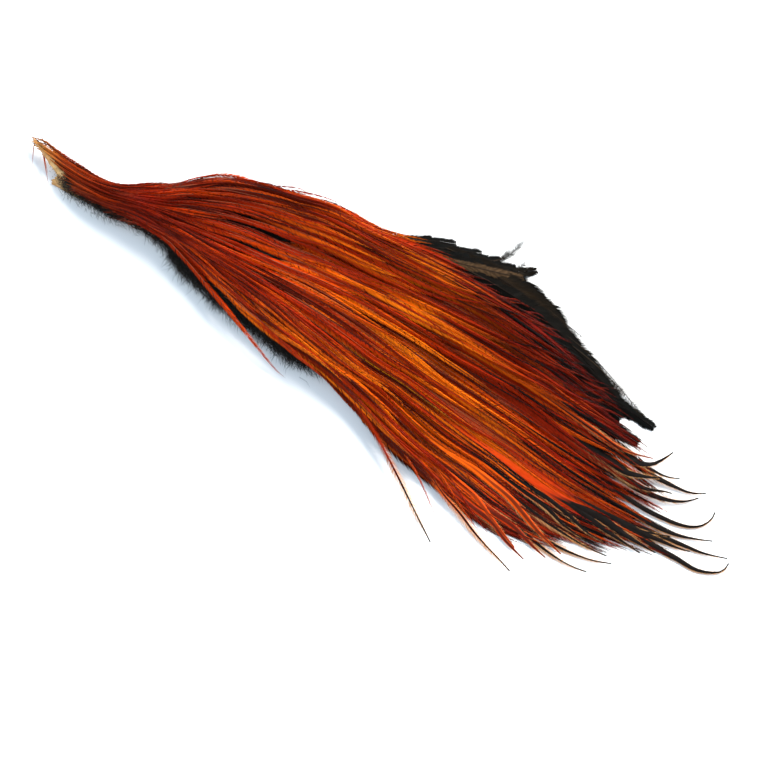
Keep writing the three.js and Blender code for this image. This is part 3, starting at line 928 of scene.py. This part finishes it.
# Where the dark line along the shaft comes in, and where a dark tip does, on the way to the tip
stripeStarts = {"line": (0.45, 0.8), "tip": (0.64, 0.9)}


def darkness(along, side):
    return shaded["amount"] * smooth(side, *shaded["across"]) * smooth(along, *shaded["along"])


def marksOf(bend, tone, stripe):
    # A stripe over 1 is a dark tip
    path, along, side = bend
    begins = stripeStarts["tip" if stripe > 1 else "line"]
    shade = darkness(along, side)
    run = runOf(path)
    stations = run / run[-1]

    def marksAt(s):
        t = np.clip(s, 0, 1)
        zone = np.interp(t, stations, along)
        return np.stack([np.full(len(t), tone), zone, np.interp(t, stations, shade),
                         stripe * smooth(t, *begins)], 1)
    return marksAt


def layHackle(store, bend, width, tone, stripe, roll):
    layFeather(store, bend[0], hackle["form"], hackleHalf(width), marksOf(bend, tone, stripe), roll)


tiers = {"nape": (-1, 0.13), "neck": (0.13, 0.23), "front": (0.23, 0.32), "middle": (0.32, 0.41),
         "long": (0.41, 0.52), "tail": (0.52, 2)}
stores = {name: newStore() for name in tiers}


def tierOf(root):
    return next(name for name, (low, high) in tiers.items() if low <= root < high)


def layCoatHackle(root, share, length, broad=1.0):
    width = mix(*hackle["widths"], float(smooth(root, 0, 0.4))) * (0.75 + 0.5 * chance.random()) * broad
    farthest = float(np.interp(share, *coatReach["ends"]))
    end = min(root + length, farthest - 0.09 * chance.random())
    striped = chance.random() < hackle["stripedShare"]
    stripe = 0.6 + 0.4 * chance.random() if striped else 0.2 * chance.random()
    stripe *= float(smooth(end, 0.55, 0.9) * (1 - 0.5 * smooth(-share, 0.3, 0.9)))
    centre = float(smooth(end, 0.45, 0.75)) * (1 - abs(share - 0.1))
    tone = min(chance.random() * 0.85 + 0.25 * centre, 0.96)
    if chance.random() < hackle["rareShare"]:
        tone = 0.99
        width *= 0.5
    elif chance.random() < hackle["darkShare"]:
        # a dark line, partly painted shade of the gaps between strands
        tone = 0.0
        width *= 0.55
    bend = coatPath(root, end, share, width, uneven(hackle["drift"]), uneven(hackle["bow"]),
                    uneven(hackle["lift"]))
    layHackle(stores[tierOf(root)], bend, width, tone, stripe, uneven(hackle["roll"]))


def layCoat():
    for i in range(hackle["count"]):
        t = i / (hackle["count"] - 1)
        root = mix(hackle["roots"][1], hackle["roots"][0], t ** hackle["crowding"])
        length = mix(*hackle["lengths"], root / hackle["roots"][1]) * (0.86 + 0.24 * chance.random())
        layCoatHackle(root, evenShare(i, 2, -1), length)


def layTail():
    # Hackles placed by their tips, so that the cape's end is full, and broad ones below, dark with painted
    # shade
    for i in range(tail["count"]):
        share = evenShare(i, *tail["spread"])
        end = float(np.interp(share, *coatReach["ends"])) - tail["ends"] * chance.random() ** 1.5
        length = tail["length"] + tail["longer"] * chance.random()
        layCoatHackle(end - length, share, length, tail["broad"])
    for i in range(tail["underCount"]):
        share = evenShare(i, *tail["underSpread"])
        end = float(np.interp(share, *coatReach["ends"])) - tail["underEnds"]
        end -= tail["underEnds"] * chance.random()
        bend = coatPath(end - tail["underLength"], end, share, 4, uneven(0.1), uneven(0.1),
                        -tail["underSink"])
        # a low tone gives these the dark colour of painted shade
        tone = tail["underShadeTone"] * chance.random()
        layHackle(stores["tail"], bend, tail["underWidth"], tone, 0.0, uneven(10))


def layNape():
    # Small hackles that cover the neck up to the cut edge of the hide
    for i in range(nape["count"]):
        share = evenShare(i, 2, -1)
        first = mix(*nape["roots"], float(smooth(-share, -0.2, 0.4)))
        root = first + nape["rows"] * chance.random() ** 1.5
        width = mix(*nape["width"], chance.random())
        end = root + nape["length"] + nape["longer"] * chance.random()
        bend = coatPath(root, end, share, width, uneven(0.1), uneven(0.1), 0.2 + 0.5 * chance.random(), 0.2)
        layHackle(stores["nape"], bend, width, 0.95 * chance.random(), 0.0, uneven(30))


# Hackles whose tips stand clear at the fringe: the points that the last part runs through, how
# much of the cape it follows before them, and the width of its dense core. Those with "dark" have a
# core with a dark line, or over 1 with a dark tip, in a thin web, whose width is given where it
# doesn't go with the core's. The others are ordinary hackles.
fringe = [
    # over the down, at -Y
    {"by": [(-70.4, -12.6), (-57.8, -16.3), (-47.1, -20.2), (-31.8, -25.2), (-19.8, -28.8), (-13, -30.2)],
     "length": 0.12, "core": 2.2},
    {"by": [(-51.3, -14.2), (-34, -19.4), (-17.8, -23.3), (-0.2, -26.8)], "length": 0.14, "core": 2.6},
    {"by": [(-46, -15), (-28, -20.6), (-10, -24.6)], "length": 0.14, "core": 2.2},
    # over the shoulder feathers, at +Y
    {"by": [(-29.3, 25.7), (-18.2, 26.6), (-8, 28.8), (1.3, 32.2)], "length": 0.15, "core": 1.9},
    {"by": [(-36, 24.6), (-24, 25.4), (-14, 27.2), (-6.5, 29.4)], "length": 0.15, "core": 1.7},
    {"by": [(-27, 24.5), (-15, 25.7), (-5, 28), (3.2, 31.4)], "length": 0.15, "core": 1.9},
    {"by": [(-16.8, 24.4), (-4.3, 25.9), (7.8, 26.8)], "length": 0.2, "core": 2.2},
    {"by": [(-27, 22.2), (-14, 22.9), (-0.4, 24.1)], "length": 0.18, "core": 2.2},
    {"by": [(-14, 26), (-2, 28.2), (10.4, 31.1)], "length": 0.2, "core": 1.8},
    # tips that part along the -Y edge
    {"by": [(3, -23.9), (17, -29.2), (29.7, -36.2), (40, -42.3), (48.6, -47.5), (54.2, -51)], "length": 0.26,
     "core": 0.6, "web": 3.0, "dark": 1.2},
    {"by": [(24.3, -28), (34.6, -33.1), (42.2, -37.4), (49.5, -42.3), (55.2, -45.9)], "length": 0.28,
     "core": 1.4},
    {"by": [(36.7, -30.5), (48.7, -36), (56.5, -38.4), (64.7, -41.5), (75.1, -44.5), (79.1, -45.8)],
     "length": 0.28, "core": 0.8, "web": 3.2, "dark": 0.8},
    {"by": [(44, -31), (55, -36.2), (65.6, -40.5)], "length": 0.3, "core": 2.0},
    {"by": [(48, -30.5), (59, -35.8), (69.2, -39.9)], "length": 0.3, "core": 2.0},
    {"by": [(58, -31.5), (67.5, -35.4), (76.4, -38.6)], "length": 0.32, "core": 2.2, "dark": 0.4},
    {"by": [(66.2, -35.4), (73.1, -38.2), (80.6, -40.3)], "length": 0.34, "core": 2.2, "dark": 0.5},
    {"by": [(72.6, -33), (81.7, -35.4), (85.9, -36.3)], "length": 0.34, "core": 2.2, "dark": 0.5},
    {"by": [(68, -26), (79, -30), (89.2, -32.8)], "length": 0.34, "core": 2.2, "dark": 0.5},
    {"by": [(74.7, -32.7), (82.5, -33.9), (89.6, -34.5), (94.5, -34.2), (98.5, -33.4)], "length": 0.34,
     "core": 1.0, "web": 3.2, "dark": 3},
    {"by": [(77.2, -31.1), (85.5, -31.2), (91.9, -30.6), (98, -29.3), (103.5, -27.1)], "length": 0.34,
     "core": 1.0, "web": 3.2, "dark": 3},
    {"by": [(70, -24.9), (78.8, -26.1), (87.3, -26.6), (94.2, -26.6), (101.1, -25.8)], "length": 0.34,
     "core": 1.0, "web": 3.2, "dark": 3},
    {"by": [(77.3, -22.2), (86, -24.4), (93.7, -25)], "length": 0.34, "core": 1.6, "web": 3, "dark": 1},
    {"by": [(75.6, -19.4), (85.3, -20.8), (92.2, -22.5), (98.6, -22.4)], "length": 0.34, "core": 1.6,
     "web": 3, "dark": 1},
    # the tail, with its hooked tips
    {"by": [(85, -17.6), (97, -18.8), (109, -19.5)], "length": 0.36, "core": 2.0, "dark": 1.5},
    {"by": [(92, -16), (102.5, -16.8), (112.9, -16.9)], "length": 0.36, "core": 2.6, "dark": 2},
    {"by": [(103.9, -14.3), (112.5, -15.2), (119.1, -14.9), (124.9, -15), (129.5, -13.5), (132.6, -11),
            (133, -7.8)], "length": 0.38, "core": 2.0, "web": 3.6, "dark": 4},
    {"by": [(105.5, -13.5), (112.8, -12.5), (117.5, -11.9), (121.4, -10.9)], "length": 0.38, "core": 2.2,
     "web": 4, "dark": 2},
    {"by": [(98.8, -14), (104.4, -13.5), (109.1, -11.9), (114.1, -9.9)], "length": 0.38, "core": 1.6,
     "web": 4, "dark": 3},
    {"by": [(111.2, -11.3), (118.7, -10.1), (124.9, -9.1), (132, -6.7)], "length": 0.4, "core": 1.7,
     "web": 2.8, "dark": 3},
    {"by": [(108.4, -9.3), (115.5, -8.3), (121.1, -6.3), (125.6, -4.2)], "length": 0.4, "core": 1.8,
     "web": 3.0, "dark": 3},
    {"by": [(103.3, -6.4), (110, -5.8), (114.9, -4.9), (118.6, -3.3), (120.9, -1), (122, 2), (121.8, 4.4)],
     "length": 0.38, "core": 1.6, "web": 2.8, "dark": 4},
    {"by": [(98, -2.2), (103.9, -1.4), (108.3, -0.1), (111.7, 1.9), (114.1, 4.2), (115.4, 5.8)],
     "length": 0.38, "core": 2.2, "dark": 4},
    {"by": [(95.3, -1.5), (101, -1), (105.3, 1.2), (107.9, 2.2)], "length": 0.38, "core": 2.4, "dark": 3},
    {"by": [(92.7, -0.1), (96.2, 1), (99.9, 2.7), (102.8, 4.8)], "length": 0.38, "core": 2.8, "dark": 4},
    {"by": [(97.5, 3.9), (103, 4.4), (108.1, 5.1), (112.6, 6), (116.6, 8.3)], "length": 0.38, "core": 2.0,
     "web": 3.2, "dark": 3},
    {"by": [(95.1, 5.1), (101, 5.6), (104.2, 6.4), (107.5, 8.2)], "length": 0.38, "core": 1.9, "web": 3.2,
     "dark": 1.5},
    {"by": [(91, 3.8), (95.3, 5), (98, 6.8), (99.3, 8.7), (100.7, 11.9), (101.6, 14.7)], "length": 0.38,
     "core": 2.4, "web": 3.6, "dark": 3},
    {"by": [(86, 5), (92, 6.2), (97.5, 8.5)], "length": 0.38, "core": 1.6, "web": 3, "dark": 0.5},
]


fringeLay = {
    "lift": 0.3,
    "roll": 14,                       # span of chance, in degrees
    "plainWidth": 1.3,                # of an ordinary one, beside its core's
    "webWidth": 1.7,
    "webAmount": 0.9,
    "coreSteps": 60,
}


def layFringe():
    for one in fringe:
        bend = fringePath(one["by"], one["length"], fringeLay["lift"])
        store = stores[tierOf(bend[1][0])]
        tone = 0.45 + 0.5 * chance.random()
        roll = uneven(fringeLay["roll"])
        core = one["core"]
        if "dark" not in one:
            layHackle(store, bend, core * fringeLay["plainWidth"], 0.8 * tone, 0.0, roll)
            continue
        if one["dark"] > 1:
            tone = 0.75 * tone - 0.1
        web = stripHalf(one.get("web", core * fringeLay["webWidth"]))
        layFeather(store, bend[0], webForm, web, marksOf(bend, tone, 0.0), roll, fringeLay["webAmount"])
        layStrip(store, bend[0], stripHalf(core), marksOf(bend, tone, one["dark"]), fringeLay["coreSteps"])


# Stubs of quills at the cut edge of the nape, and red hairs that hang from it
napeHairs = [
    {"from": (-130.5, -4.6, 3.6), "to": (-134.2, -5.3, 4.6), "radius": 0.3, "tone": 0.1},
    {"from": (-129.5, -3.8, 3.8), "to": (-133.2, -3.6, 5.6), "radius": 0.32, "tone": 0.1},
    {"from": (-128.5, -3.2, 3.8), "to": (-132.2, -1.6, 5.4), "radius": 0.28, "tone": 0.1},
    {"from": (-132.6, -4.8, 3.4), "to": (-129.2, -10.8, 1.2), "radius": 0.22, "tone": 0.8},
    {"from": (-126.5, -7.2, 4.4), "to": (-119.9, -13.9, 1.4), "radius": 0.24, "tone": 0.8},
    {"from": (-126.0, -7.4, 4.2), "to": (-122.0, -11.2, 2.6), "radius": 0.18, "tone": 0.9},
]


def layHairs(store):
    for hair in napeHairs:
        start, end = np.array(hair["from"]), np.array(hair["to"])
        t = np.linspace(0, 1, 8)[:, None]
        path = start + (end - start) * t + np.array([0, 0, 0.8]) * t * (1 - t)
        marks = np.array([hair["tone"], 0.05, 0.0, 0.0])
        layShaft(store, path, hair["radius"], lambda s: np.tile(marks, (len(s), 1)), 8)
        store["feathers"] += 1


# Shoulder feathers: where each leaves the hide (along, across), its tip, the way the tip points in
# degrees from +X, and its width
shoulder = {
    "feathers": [
        {"root": (0.34, 0.5), "tip": (8, 40.4), "points": 44, "width": 5.5},
        {"root": (0.36, 0.5), "tip": (16.6, 42.8), "points": 46, "width": 6},
        {"root": (0.4, 0.6), "tip": (22.4, 44.6), "points": 54, "width": 6.5},
        {"root": (0.42, 0.6), "tip": (28.4, 44.8), "points": 48, "width": 7},
        {"root": (0.42, 0.6), "tip": (34.4, 48.2), "points": 44, "width": 4.6},
        {"root": (0.44, 0.5), "tip": (38, 38.5), "points": 14, "width": 9},
        {"root": (0.46, 0.6), "tip": (50, 33.5), "points": -16, "width": 9},
        {"root": (0.48, 0.6), "tip": (60, 28.5), "points": -24, "width": 9},
        {"root": (0.5, 0.6), "tip": (70, 24), "points": -24, "width": 9},
        {"root": (0.52, 0.5), "tip": (80, 20.5), "points": -20, "width": 9},
        {"root": (0.54, 0.5), "tip": (94.5, 18.8), "points": -6, "width": 5.5},
        {"root": (0.55, 0.4), "tip": (92.7, 11.6), "points": -4, "width": 6.5},
        {"root": (0.5, 0.5), "tip": (76, 14), "points": -16, "width": 12},
        {"root": (0.52, 0.45), "tip": (84, 15.5), "points": -10, "width": 7},
        {"root": (0.52, 0.8), "tip": (32.4, 42.2), "points": 40, "width": 5.5, "brown": True},
    ],
    "copies": 3,                      # feathers at each place, the main one on top
    "back": 1.0,                      # how far every tip is drawn back
    "turn": 16,                       # span of chance for the others' turns, in degrees
    "aside": 3,                       # and for their tips, to the side
    "shorter": (3, 9),                # how much shorter they are, at least and on top of that
    "brownRise": 0.9,                 # how far the brown one lies over the others
    "underTop": 0.8,                  # the highest lie this far under the top of their solids
    "leastDepth": 0.3,                # of the pile over the down
    "rootDepth": 0.5,
    "overFloor": 0.7,
    "stations": 24,
    "form": {"slope": 0.22, "stations": 20, "shaft": 0.26, "quill": 0.05, "spacing": 0.34, "lock": 3.2,
             "ragged": 0.22, "frayed": 0.16, "angles": (40, 50), "split": 0.6, "fill": 1.9, "lean": 0.05,
             "loose": 0.3},
}
# Thin loose feathers that stand out of the pile
plumes = [
    {"root": (15, 35), "tip": (23.8, 54.5), "points": 92, "width": 2.8, "web": 0.2},
    {"root": (17, 36), "tip": (21.5, 49), "points": 100, "width": 3.4, "web": 0.3},
    {"root": (19, 37), "tip": (28.4, 48), "points": 100, "width": 3.6, "web": 0.4},
    {"root": (22, 38), "tip": (31, 46.5), "points": 70, "width": 3.0, "web": 0.5},
    {"root": (40, 36), "tip": (59.2, 33.3), "points": -10, "width": 2.0, "web": 0.6},
    {"root": (50, 29), "tip": (88, 20.5), "points": -24, "width": 3.0, "web": 0.4},
    {"root": (46, 31), "tip": (80, 23.5), "points": -26, "width": 2.6, "web": 0.4},
]


def shoulderHalf(width, length):
    def half(s):
        # The end is round over a little more than the width
        left = np.clip((1 - np.asarray(s)) * length / (1.3 * width), 0, 1)
        return np.maximum(0.5 * width * smooth(s, 0.2, 0.75) * np.sqrt(1 - (1 - left) ** 2), 0.15)
    return half


def layShoulderFeather(store, start, end, points, width, layer, form, web=0.0, brown=False):
    # layer is 0 for the lowest of the pile and 1 for the highest
    middle = end - headingOf(points) * np.linalg.norm(end - start) / 2
    t = np.linspace(0, 1, shoulder["stations"])[:, None]
    xy = (1 - t) ** 2 * start + 2 * t * (1 - t) * middle + t**2 * end
    t = t[:, 0]
    low = heightAt(downTop, xy[:, 0], xy[:, 1])
    high = heightAt(shoulderTop, xy[:, 0], xy[:, 1]) - shoulder["underTop"]
    high = np.maximum(high, low + shoulder["leastDepth"])
    skin = heightAt(hideTop, xy[:, 0], xy[:, 1]) - shoulder["rootDepth"]
    z = np.maximum(mix(skin, mix(low, high, layer), smooth(t, 0, 0.2)), shoulder["overFloor"])
    z = z + (shoulder["brownRise"] if brown else 0)
    tone = 0.99 if brown else 0.95 * chance.random()
    # how far the feather takes the bluish black of painted sheen, at random; none on the brown one
    paintedSheen = 0 if brown else 0.6 * chance.random()

    def marksAt(s):
        return np.stack([np.full(len(s), tone), np.clip(s, 0, 1), np.full(len(s), paintedSheen),
                         np.full(len(s), 0.3)], 1)

    path = np.column_stack([xy, z])
    layFeather(store, path, form, shoulderHalf(width, runOf(path)[-1]), marksAt, uneven(16), web)


def layShoulder(store):
    least, more = shoulder["shorter"]
    for one in shoulder["feathers"]:
        for copy in range(shoulder["copies"]):
            other = float(copy > 0)
            points = one["points"] + other * uneven(shoulder["turn"])
            ahead = headingOf(points)
            aside = np.array([-ahead[1], ahead[0]]) * other * uneven(shoulder["aside"])
            back = shoulder["back"] + other * (least + more * chance.random())
            end = np.array(one["tip"], float) - ahead * back + aside
            width = one["width"] * (0.8 + 0.25 * chance.random())
            layShoulderFeather(store, place(*one["root"]).reshape(2), end, points, width,
                               1 - copy / shoulder["copies"], shoulder["form"], brown="brown" in one)
    thin = {**shoulder["form"], "spacing": 0.5, "fill": 0.5, "shaft": 0.3, "ragged": 0.5}
    for one in plumes:
        layShoulderFeather(store, np.array(one["root"], float), np.array(one["tip"], float), one["points"],
                           one["width"], 1.0, thin, one["web"])


# Down: a dark lumpy core, and tufts of curled barbs that stand out of it
down = {
    "along": (0.035, 0.6),
    "near": ([0.03, 0.06, 0.1, 0.19, 0.23, 0.28, 0.36, 0.45, 0.6],
             [0.55, 0.38, 0.22, 0.2, 0.38, 0.92, 1.05, 1.1, 0.95]),
    "far": ([0, 0.16, 0.23, 0.3, 0.4, 1], [0.6, 0.5, 0.95, 0.98, 0.85, 0.84]),
    "core": (150, 44),                # points of the core along and across
    "tufts": 1250,
    "edgeShare": 0.6,                 # those that stand out of the -Y edge
    "strips": 30,                     # barbs in a tuft
    "length": (1.5, 3.3),
    "napeShare": 0.4,                 # how long it is at the nape, beside the rest
    "width": 0.1,
    "scatter": (1.3, 1.3, 0.35),      # of the barbs' roots in a tuft
    "stray": (0.9, 0.9, 0.5),         # of their tips
    "curl": (0.7, 0.7, 0.4),          # of their middles
}


def downPlace(t, side):
    along = mix(*down["along"], t) - 0.04 * t * side * side
    span = np.where(side > 0, np.interp(along, *down["far"]), np.interp(along, *down["near"]))
    return place(along, side * span)


def layTufts():
    count = down["tufts"]
    atEdge = chance.random(count) < down["edgeShare"]
    t = chance.random(count)
    side = np.where(atEdge, -0.8 - 0.2 * chance.random(count), 1.9 * chance.random(count) - 0.9)
    base = downPlace(t, side)
    forward = downPlace(t + 0.02, side) - base
    forward /= np.linalg.norm(forward, axis=1, keepdims=True)
    outward = np.stack([forward[:, 1], -forward[:, 0]], 1) * np.where(side < 0, 1, -1)[:, None]
    swing = (1.3 * chance.random(count) - 0.1) * np.where(atEdge, 1.0, 0.5)
    flat = forward * np.cos(swing)[:, None] + outward * np.sin(swing)[:, None]
    z = np.maximum(heightAt(downTop, base[:, 0], base[:, 1]) - 0.8, 0.7)
    z = np.where(atEdge, z * (0.35 + 0.6 * chance.random(count)), z)
    rise = np.where(atEdge, 0.5 * chance.random(count) - 0.2, 0.25 + 0.35 * chance.random(count))
    length = mix(*down["length"], chance.random(count)) * mix(down["napeShare"], 1, smooth(t, 0.2, 0.4))
    strips = down["strips"]
    total = count * strips

    def scattered(spans):
        return chance.normal(0, 1, (total, 3)) * np.array(spans)

    root = np.repeat(np.column_stack([base, z]), strips, 0) + scattered(down["scatter"])
    heading = np.repeat(np.column_stack([flat, rise]) * length[:, None], strips, 0)
    heading = heading * (0.6 + 0.7 * chance.random((total, 1)))
    heading += scattered(down["stray"])
    curl = scattered(down["curl"])
    aside = np.cross(heading, np.array([0, 0, 1.0]))
    aside /= np.linalg.norm(aside, axis=1, keepdims=True)
    aside = aside * down["width"] / 2
    half = root + heading * 0.5 + curl * 0.5
    points = np.stack([root - aside, root + aside, half - aside * 0.8, half + aside * 0.8, root + heading], 1)
    points[..., 2] = np.maximum(points[..., 2], 0.2)          # clear of the floor
    tone = np.repeat(chance.random(count), strips * 5)
    tip = np.tile([0, 0, 0.5, 0.5, 1.0], total)
    return points.reshape(-1, 3), barbFaces(total), np.stack([tone, tip, 0 * tip], 1)


def gridFaces(rows, columns, flip=False):
    i, j = np.meshgrid(np.arange(rows - 1), np.arange(columns - 1), indexing="ij")
    a = (i * columns + j).ravel()
    b = a + columns
    faces = np.concatenate([np.stack([a, b, b + 1], 1), np.stack([a, b + 1, a + 1], 1)])
    return faces[:, ::-1] if flip else faces


def rimFaces(rows, columns):
    # The wall that joins a grid to the copy of it that follows
    rim = np.concatenate([
        np.arange(rows - 1) * columns, (rows - 1) * columns + np.arange(columns - 1),
        (np.arange(rows - 1, 0, -1) + 1) * columns - 1, np.arange(columns - 1, 0, -1),
    ])
    after = np.roll(rim, -1)
    under = rows * columns
    return np.concatenate([np.stack([rim, rim + under, after + under], 1),
                           np.stack([rim, after + under, after], 1)])


def closedSheet(xy, top, under):
    # A grid of points at the height of its upper side, a copy at that of its underside, and a rim
    rows, columns = top.shape
    points = np.concatenate([np.column_stack([xy.reshape(-1, 2), top.ravel()]),
                             np.column_stack([xy.reshape(-1, 2), under.ravel()])])
    faces = np.concatenate([gridFaces(rows, columns), gridFaces(rows, columns, True) + rows * columns,
                            rimFaces(rows, columns)])
    return points, faces


def layCore():
    rows, columns = down["core"]
    t, side = np.meshgrid(np.linspace(0, 1, rows), np.linspace(-1, 1, columns), indexing="ij")
    xy = downPlace(t, side)
    lumps = 0.5 * np.sin(t * 90 + side * 5) * np.sin(side * 14 + t * 31) + 0.3 * chance.random(t.shape)
    skin = heightAt(hideTop, xy[..., 0], xy[..., 1])
    top = heightAt(downTop, xy[..., 0], xy[..., 1]) - 0.7 + lumps * 0.6
    edge = 1 - np.maximum(np.abs(side) ** 8, 1 - smooth(t, 0, 0.06) * smooth(t, 1, 0.95))
    low = np.maximum(skin - 0.2, 0.4)
    top = np.maximum(mix(low, top, edge), low + 0.15)
    points, faces = closedSheet(xy, top, low - 0.05)
    return points, faces, np.tile([0.2, 0.0, 0.0], (len(points), 1))


def makeDown():
    core, coreFaces, coreMarks = layCore()
    tufts, tuftFaces, tuftMarks = layTufts()
    points = np.concatenate([core, tufts])
    faces = np.concatenate([coreFaces, tuftFaces + len(core)])
    mesh = makeMesh("down_fluff", points, faces)
    addColour(mesh, "marks", np.concatenate([coreMarks, tuftMarks]))
    # The bake sheet: both sides of the core in its lower half, the barbs in cells in the upper
    rows, columns = down["core"]
    t, side = np.meshgrid(np.linspace(0, 1, rows), np.linspace(0, 1, columns), indexing="ij")
    flatCore = np.stack([t.ravel(), 0.25 * side.ravel()], 1)
    strips = len(tufts) // 5
    cells = math.ceil(math.sqrt(strips))
    strip = np.arange(strips)
    corner = np.array([(0.1, 0.1), (0.9, 0.1), (0.1, 0.5), (0.9, 0.5), (0.5, 0.9)])
    flatTufts = (np.stack([strip % cells, strip // cells], 1)[:, None] + corner[None]).reshape(-1, 2) / cells
    flatTufts[:, 1] = 0.51 + 0.49 * flatTufts[:, 1]
    addUv(mesh, "OFBake", faces, np.concatenate([flatCore, flatCore + np.array([0, 0.25]), flatTufts]))
    finishPiece("down_fluff", mesh, downFinish, ["down"])


# The dried hide, with the notch cut into its nape end
hide = {
    "grid": (170, 52),
    "thickness": 1.2,
    "arch": 3.6,                      # rise of its middle at the nape
    "archEnd": 0.24,
    "end": 0.52,                      # along, at the middle of its far end
    "endCurve": 0.05,
    "halfWidth": 0.72,
    "narrows": (0.08, 0.3),
    "near": ([0, 0.05, 0.1, 0.19, 0.27], [1, 0.7, 0.3, 0.3, 0.9]),       # of its -Y edge
    "notch": 0.018,
    "notchMiddle": -0.42,
    "notchHalf": 0.45,
    "corner": 0.009,                  # how far its +Y corner reaches past the cut
}


def makeHide():
    rows, columns = hide["grid"]
    t, side = np.meshgrid(np.linspace(0, 1, rows), np.linspace(-1, 1, columns), indexing="ij")
    notch = hide["notch"] * np.maximum(0, 1 - np.abs(side - hide["notchMiddle"]) / hide["notchHalf"])
    ragged = 0.0025 * np.sin(side * 23 + 1) * np.sin(side * 9) + 0.0012 * np.sin(side * 61)
    start = notch + ragged + 0.002 - hide["corner"] * smooth(side, 0, 1)
    along = mix(start, hide["end"] - hide["endCurve"] * side**2, t)
    across = side * mix(1, hide["halfWidth"], smooth(t * hide["end"], *hide["narrows"]))
    across = across * (0.985 - 0.012 * np.sin(t * 70) * np.sin(t * 23))
    across = across * np.where(side < 0, np.interp(along, *hide["near"]), 1.0)
    under = hide["arch"] * (1 - smooth(along, 0, hide["archEnd"])) * (1 - side**2)
    edge = np.minimum(smooth(1 - np.abs(side), 0, 0.1), smooth(t, 0, 0.02) * smooth(t, 1, 0.98))
    ripple = 0.12 * np.sin(t * 160 + side * 7) * np.sin(side * 11 + t * 40)
    thick = hide["thickness"] * mix(0.45, 0.95, edge)
    middle = under + hide["thickness"] / 2 + ripple + napeRise(along, across)
    low = np.maximum(middle - thick / 2, 0.02)
    points, faces = closedSheet(place(along, across), middle + thick / 2, low)
    mesh = makeMesh("dried_hide", points, faces)
    flat = np.stack([t.ravel(), 0.24 + 0.23 * side.ravel()], 1)
    addUv(mesh, "OFBake", faces, np.concatenate([flat, flat + np.array([0, 0.5])]))
    finishPiece("dried_hide", mesh, skinFinish, ["hide"])


def makeFeathers():
    layCoat()
    layTail()
    layNape()
    layFringe()
    layHairs(stores["nape"])
    roots = {name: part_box(name)[0][0] / mm for name in hackleNodes}
    for name, store in stores.items():
        low, high = (float(place(np.clip(edge, -0.05, 1.2), 0.0)[0]) for edge in tiers[name])
        replaced = [node for node in hackleNodes if low <= roots[node] < high]
        makePiece("hackles_" + name, store, hackleFinish, replaced)
    store = newStore()
    layShoulder(store)
    makePiece("shoulder_feathers", store, shoulderFinish, shoulderNodes)


# Floor, plain and pale
floorLook = {"half": 4, "colour": (0.92, 0.92, 0.92), "roughness": 0.8, "specular": 0.1}


def makeFloor():
    half = floorLook["half"]
    mesh = bpy.data.meshes.new("floor")
    corners = [(-half, -half, 0), (half, -half, 0), (half, half, 0), (-half, half, 0)]
    mesh.from_pydata(corners, [], [(0, 1, 2, 3)])
    floor = bpy.data.objects.new("floor", mesh)
    bpy.context.collection.objects.link(floor)
    material, _, shader = newMaterial("pale_floor")
    shader.inputs["Base Color"].default_value = (*floorLook["colour"], 1)
    shader.inputs["Roughness"].default_value = floorLook["roughness"]
    shader.inputs["Specular IOR Level"].default_value = floorLook["specular"]
    mesh.materials.append(material)
    print("floor laid")


makeCamera()
makeLights()
makeHide()
makeDown()
makeFeathers()
makeFloor()
